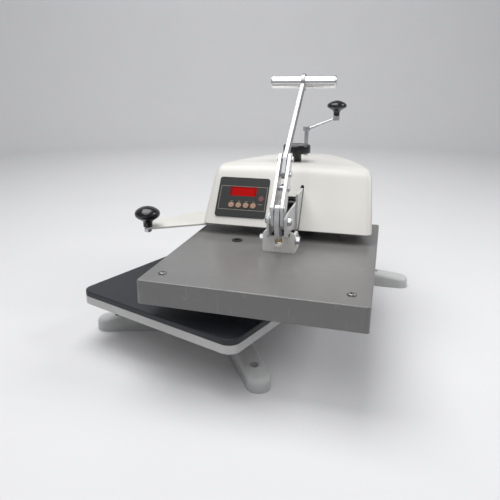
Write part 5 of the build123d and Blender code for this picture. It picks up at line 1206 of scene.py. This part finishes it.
@dataclass
class Fasteners:
    """The bolts, pins and screws that show: chamfered heads, a dome, washers and sockets.

    Places across are x in the head's frame, and spots are its y and z.
    """

    arm: tuple[float, float] = (-0.012, 0.030)
    arm_inside: tuple[float, float] = (-0.007, 0.025)
    strap: tuple[float, float] = (-0.004, 0.022)
    strap_inside: tuple[float, float] = (0.002, 0.016)
    bar: tuple[float, float] = (0.005, 0.013)
    bracket: tuple[float, float] = (-0.0246, 0.0445)
    roller_gap: tuple[float, float] = (0.0028, 0.0152)
    bracket_wall: float = 0.0056
    pivot: tuple[float, float] = (-0.034, 0.280)
    strap_top: tuple[float, float] = (0.032, 0.399)
    bar_shares: tuple[float, float] = (0.0, 0.25)
    spacer_share: float = 0.48
    link_pin: tuple[float, float] = (-0.040006, 0.306016)
    roller: tuple[float, float] = (-0.018, 0.236)
    pivot_radius: float = 0.006
    dome_radius: float = 0.0085
    dome_rise: float = 0.0055
    dome_rim: float = 0.0015
    pivot_nut: tuple[float, float] = (0.0095, 0.007)
    bolt_end: float = 0.0018
    washer_radius: float = 0.013
    washer_gap: float = 0.0001
    pin_radius: float = 0.005
    pin_head: tuple[float, float] = (0.0085, 0.0023)
    strap_bolt_radius: float = 0.004
    strap_nut: tuple[float, float] = (0.0068, 0.004)
    tube_radius: float = 0.0056
    bracket_nut: tuple[float, float] = (0.009, 0.0075)
    bracket_washer: tuple[float, float] = (0.010, 0.001875)
    roller_tube_radius: float = 0.0062
    screw: tuple[float, float] = (0.1753, 0.2159)
    screw_head: tuple[float, float] = (0.008, 0.0035)
    screw_round: float = 0.0025
    screw_foot: float = 0.1697
    socket_radius: float = 0.0032
    socket_depth: float = 0.0024
    socket_bevel: float = 0.0003
    stud_x: tuple[float, float] = (-0.007, 0.025)
    stud_y: tuple[float, float] = (-0.010, 0.016)
    stud_nut: tuple[float, float] = (0.0064, 0.004)
    stud_foot: float = 0.1985
    bracket_foot: float = 0.005
    shank_radius: float = 0.004
    soft: float = 0.0002

    def along_strap(self, share: float) -> tuple[float, float]:
        """The spot at a share of the way from the strap's top to the pivot."""
        (top_y, top_z), (foot_y, foot_z) = self.strap_top, self.pivot
        return top_y + (foot_y - top_y) * share, top_z + (foot_z - top_z) * share

    def across(self, spot: Sequence[float], radius: float, left: float, right: float) -> bpy.types.Object:
        """A round bar along the head's x between two places."""
        return lathe("bar", disc(radius, left, right), HEAD, (0.0, *spot), "x", 48)

    def upright(self, x: float, y: float, low: float, high: float) -> bpy.types.Object:
        """A screw's shank between two heights."""
        return lathe("shank", disc(self.shank_radius, low, high), HEAD, (x, y, 0.0), sides=32)

    def build(self) -> None:
        """Makes each group as one piece."""
        self.pivot_bolt()
        self.lever_pins()
        self.roller_bolt()
        self.platen_screws()

    def pivot_bolt(self) -> None:
        """The main pivot: shaft, dome head on the left, nut on the right, two washers."""
        rim = [[0.0, 0.0], [self.dome_radius, 0.0]]
        dome = arc((0.0, 0.0), self.dome_radius, 0.0, -90.0, 16)
        dome[:, 1] = -self.dome_rim + dome[:, 1] * self.dome_rise / self.dome_radius
        left, right = self.arm
        radius, height = self.pivot_nut
        gap = self.washer_gap
        pieces = [
            lathe("dome", np.vstack([rim, dome]), HEAD, (left, *self.pivot), "x", 64),
            self.across(self.pivot, self.pivot_radius, left, right + height + self.bolt_end),
            nut((right, *self.pivot), radius, height),
            self.across(self.pivot, self.washer_radius, self.arm_inside[0], self.strap[0] - gap),
            self.across(self.pivot, self.washer_radius, self.strap[1] + gap, self.arm_inside[1]),
        ]
        finished(smooth(join("pivot_bolt_set", pieces)), Finishes.ZINC, "head", "zinc_plate", "pivot_bolt")

    def lever_pins(self) -> None:
        """The link's pin with its flat heads, and the bar's bolts and spacers."""
        left, right = self.strap
        bolts = [self.along_strap(share) for share in self.bar_shares]
        spacer = self.along_strap(self.spacer_share)
        head_radius, head = self.pin_head
        nut_radius, height = self.strap_nut
        pieces = [
            self.across(self.link_pin, self.pin_radius, left, right),
            self.across(self.link_pin, head_radius, left - head, left),
            self.across(self.link_pin, head_radius, right, right + head),
            self.across(spacer, self.tube_radius, *self.strap_inside),
        ]
        for spot in (*bolts, spacer):
            pieces.append(self.across(spot, self.strap_bolt_radius, left, right))
            pieces.append(nut((left, *spot), nut_radius, -height))
            pieces.append(nut((right, *spot), nut_radius, height))
        for spot in bolts:
            pieces.append(self.across(spot, self.tube_radius, self.strap_inside[0], self.bar[0]))
            pieces.append(self.across(spot, self.tube_radius, self.bar[1], self.strap_inside[1]))
        finished(smooth(join("lever_pin_set", pieces)), Finishes.ZINC, "lever", "zinc_plate", "lever_pins")

    def roller_bolt(self) -> None:
        """The bracket's bolt: head and nut outside, and a spacer on each side of the roller."""
        left, right = self.bracket
        nut_radius, height = self.bracket_nut
        washer_radius, washer = self.bracket_washer
        wall, tube = self.bracket_wall, self.roller_tube_radius
        pieces = [
            self.across(self.roller, self.pin_radius, left, right),
            nut((left, *self.roller), nut_radius, -height),
            self.across(self.roller, washer_radius, right, right + washer),
            nut((right + washer, *self.roller), nut_radius, height),
            self.across(self.roller, tube, left + wall, self.roller_gap[0]),
            self.across(self.roller, tube, self.roller_gap[1], right - wall),
        ]
        piece = join("roller_bolt_set", pieces)
        finished(smooth(piece), Finishes.ZINC, "platen", "zinc_plate", "bracket_bolt")

    def platen_screws(self) -> None:
        """Socket screws at the corners, each with a domed head whose middle sinks into a
        hexagon's socket, and the bracket's four nuts."""
        radius, height = self.screw_head
        top = SHROUD_TOP + height
        floor = top - self.socket_depth
        rise = arc((radius - self.screw_round, top - self.screw_round), self.screw_round, 0.0, 90.0, 8)
        socket = [
            [self.socket_radius + self.soft, top],
            [self.socket_radius, top - self.socket_bevel],
            [self.socket_radius, floor + self.soft],
            [0.0, floor],
        ]
        head = np.vstack([[[0.0, SHROUD_TOP], [radius, SHROUD_TOP]], rise, socket])
        pieces = []
        for x in (-self.screw[0], self.screw[0]):
            for y in (-self.screw[1], self.screw[1]):
                pieces.append(lathe("head", head, HEAD, (x, y, 0.0), sides=60))
                pieces.append(self.upright(x, y, self.screw_foot, SHROUD_TOP))
        foot = SHROUD_TOP + self.bracket_foot
        for x in self.stud_x:
            for y in self.stud_y:
                pieces.append(nut((x, y, foot), *self.stud_nut, axis="z"))
                pieces.append(self.upright(x, y, self.stud_foot, foot))
        piece = join("platen_screw_set", pieces)
        finished(smooth(piece), Finishes.SCREW, "platen", "zinc_plate", "platen_screws")


@dataclass
class Knobs:
    """The three black knobs, each turned from its own profile of radii and heights in mm."""

    crank_at: tuple[float, float, float] = (0.078, 0.0, 0.4685)
    crank_rim: Knots = ((0.0, 0.0), (6.8, 0.0), (7.6, 0.2))
    crank_knots: Knots = (
        (8.0, 0.5), (8.0, 6.0), (9.5, 11.5), (16.0, 16.5), (23.5, 21.0), (25.5, 26.0),
        (23.0, 31.5), (14.5, 36.8), (5.5, 39.6), (0.0, 40.0),
    )
    swing_at: tuple[float, float, float] = (-0.313, 0.014, DECK_TOP)
    swing_rim: Knots = ((0.0, 0.0), (10.0, 0.0), (10.7, 0.3))
    swing_knots: Knots = (
        (11.0, 0.8), (11.0, 7.0), (12.0, 13.0), (18.5, 18.0), (27.0, 24.0), (30.0, 31.0),
        (27.5, 38.5), (18.0, 45.5), (7.0, 49.1), (0.0, 49.5),
    )
    knob_points: int = 90
    stop_at: tuple[float, float, float] = (0.0, 0.228, 0.366065)
    stop_stem: Knots = ((0.0, 0.0), (11.6, 0.0), (12.0, 0.4), (12.0, 19.0), (13.0, 20.5), (31.0, 20.5))
    stop_dish: Knots = ((20.0, 41.5), (19.0, 41.1), (0.0, 41.1))

    def turned(
        self, name: str, profile: np.ndarray, place: Place, at: Sequence[float], body: str, node: str
    ) -> None:
        """Turns a profile and lets it stand for a node.

        Args:
            name: The new piece's name.
            profile: Radii and heights in mm.
            place: The frame.
            at: Where the knob's foot is, in the frame.
            body: The body it rides on.
            node: The node it stands for.
        """
        piece = lathe(name, profile / 1000, place, at)
        finished(smooth(piece), Finishes.KNOB, body, "knob_black", node)

    def mushroom(self, rim: Knots, knots: Knots) -> np.ndarray:
        """The foot's small bevel, and a soft line through the knots."""
        return np.vstack([rim, smooth_line(knots, self.knob_points)])

    def build(self) -> None:
        """Turns the three profiles."""
        crank = self.mushroom(self.crank_rim, self.crank_knots)
        self.turned("crank_ball", crank, CRANK, self.crank_at, "crank_knob", "crank_knob")
        swing = self.mushroom(self.swing_rim, self.swing_knots)
        self.turned("swing_ball", swing, HEAD, self.swing_at, "head", "swing_knob")
        lower = arc((31.5, 22.5), 2.0, -90.0, 0.0, 6)
        upper = arc((29.0, 37.0), 4.5, 0.0, 90.0, 10)
        stop = np.vstack([self.stop_stem, lower, upper, self.stop_dish])
        self.turned("stop_disc", stop, HEAD, self.stop_at, "stop_knob", "hand_knob")


@dataclass(frozen=True)
class Camera:
    """A pinhole camera fitted to the corners of the platen and the table in the picture.

    The turns are in degrees, the focal length and the centre are in pixels.
    """

    yaw: float = -37.07
    pitch: float = 15.77
    roll: float = -0.35
    focal: float = 519.3
    centre: tuple[float, float] = (218.4, 226.7)
    at: tuple[float, float, float] = (0.6746, -1.0657, 0.5621)

    def build(self) -> None:
        """Turns the camera by its three angles and shifts its centre."""
        yaw, pitch, roll = (math.radians(turn) for turn in (self.yaw, self.pitch, self.roll))
        forward = Vector(
            (math.sin(yaw) * math.cos(pitch), math.cos(yaw) * math.cos(pitch), -math.sin(pitch))
        )
        right = Vector((math.cos(yaw), -math.sin(yaw), 0.0))
        above = right.cross(forward)
        rolled = math.cos(roll) * right + math.sin(roll) * above
        above = math.cos(roll) * above - math.sin(roll) * right
        data = bpy.data.cameras.new("view_camera")
        data.sensor_width = 36.0
        data.lens = self.focal / PICTURE_SIDE * data.sensor_width
        data.shift_x = 0.5 - self.centre[0] / PICTURE_SIDE
        data.shift_y = self.centre[1] / PICTURE_SIDE - 0.5
        camera = bpy.data.objects.new("view_camera", data)
        axes = Matrix((rolled, above, -forward)).transposed().to_4x4()
        axes.translation = Vector(self.at)
        camera.matrix_world = axes
        bpy.context.scene.collection.objects.link(camera)
        bpy.context.scene.camera = camera


@dataclass(frozen=True)
class Lamp:
    """A square soft lamp that faces a point."""

    name: str
    at: tuple[float, float, float]
    size: float
    watts: float
    to: tuple[float, float, float] = (0.0, 0.0, 0.2)

    def build(self) -> None:
        """Hangs the lamp."""
        data = bpy.data.lights.new(self.name, "AREA")
        data.size = self.size
        data.energy = self.watts
        lamp = bpy.data.objects.new(self.name, data)
        lamp.location = self.at
        lamp.rotation_euler = (Vector(self.to) - Vector(self.at)).to_track_quat("-Z", "Y").to_euler()
        bpy.context.scene.collection.objects.link(lamp)


@dataclass(frozen=True)
class Studio:
    """A pale floor that rises into a round backdrop, soft lamps and an even world."""

    lamps: tuple[Lamp, ...] = (
        Lamp("key_lamp", (-0.4, -0.2, 2.2), 1.6, 35.0),
        Lamp("front_lamp", (0.6, -1.6, 2.2), 1.4, 14.0),
        Lamp("rim_lamp", (1.7, 0.9, 1.7), 1.0, 18.0),
        Lamp("wall_lamp", (-0.9, 1.3, 2.7), 1.5, 40.0, (-2.7, 3.6, 1.4)),
    )
    flat_radius: float = 3.4
    bend: float = 1.2
    wall_top: float = 4.0
    pale: tuple[Colour, Colour] = ((0.80, 0.80, 0.81), (0.83, 0.83, 0.84))
    unseen: Colour = (0.60, 0.60, 0.61)
    sky: Colour = (0.9, 0.92, 0.95)
    sky_power: float = 0.24

    def build(self) -> None:
        """Makes the floor, the lamps and the world."""
        self.floor()
        for lamp in self.lamps:
            lamp.build()
        world = bpy.data.worlds.new("studio_world")
        world.use_nodes = True
        background = world.node_tree.nodes["Background"]
        background.inputs["Color"].default_value = (*self.sky, 1.0)
        background.inputs["Strength"].default_value = self.sky_power
        bpy.context.scene.world = world
        bpy.context.scene.view_settings.view_transform = "Standard"

    def floor(self) -> None:
        """Turns the floor's profile, and dresses it in paper that throws less light back onto
        the press than it shows to the eye and in reflections."""
        bent = arc((self.flat_radius, self.bend), self.bend, -90.0, 0.0, 16)
        wall = [self.flat_radius + self.bend, self.wall_top]
        path = np.vstack([[[0.0, 0.0], [1.5, 0.0]], bent, [wall]])
        floor = smooth(lathe("studio_floor", path, Place(), (0.0, 0.0, 0.0), sides=96), 80.0)
        shader = Shader("floor_paper")
        pale = shader.mix(shader.noise(shader.point(), 3.0), *self.pale)
        seen = shader.node("ShaderNodeLightPath", output="Is Camera Ray")
        seen = seen.most(shader.node("ShaderNodeLightPath", output="Is Glossy Ray"))
        shader.wear(Base_Color=shader.mix(seen, self.unseen, pale), Roughness=0.9)
        floor.data.materials.append(shader.material)
        floor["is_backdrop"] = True


def write_sizes() -> None:
    """Works out the frame's box and the dressed model's box."""
    boxes = [[list(corner) for corner in box] for box in (CAD_BOX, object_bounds())]


def main() -> None:
    """Makes the camera, the studio and every piece, in order."""
    logging.basicConfig(level=logging.INFO, format="%(message)s")
    Camera().build()
    Studio().build()
    dress_frame()
    Cover().build()
    Pad().build()
    Grip().build()
    Fasteners().build()
    Knobs().build()
    write_sizes()


if __name__ == "__main__":
    main()
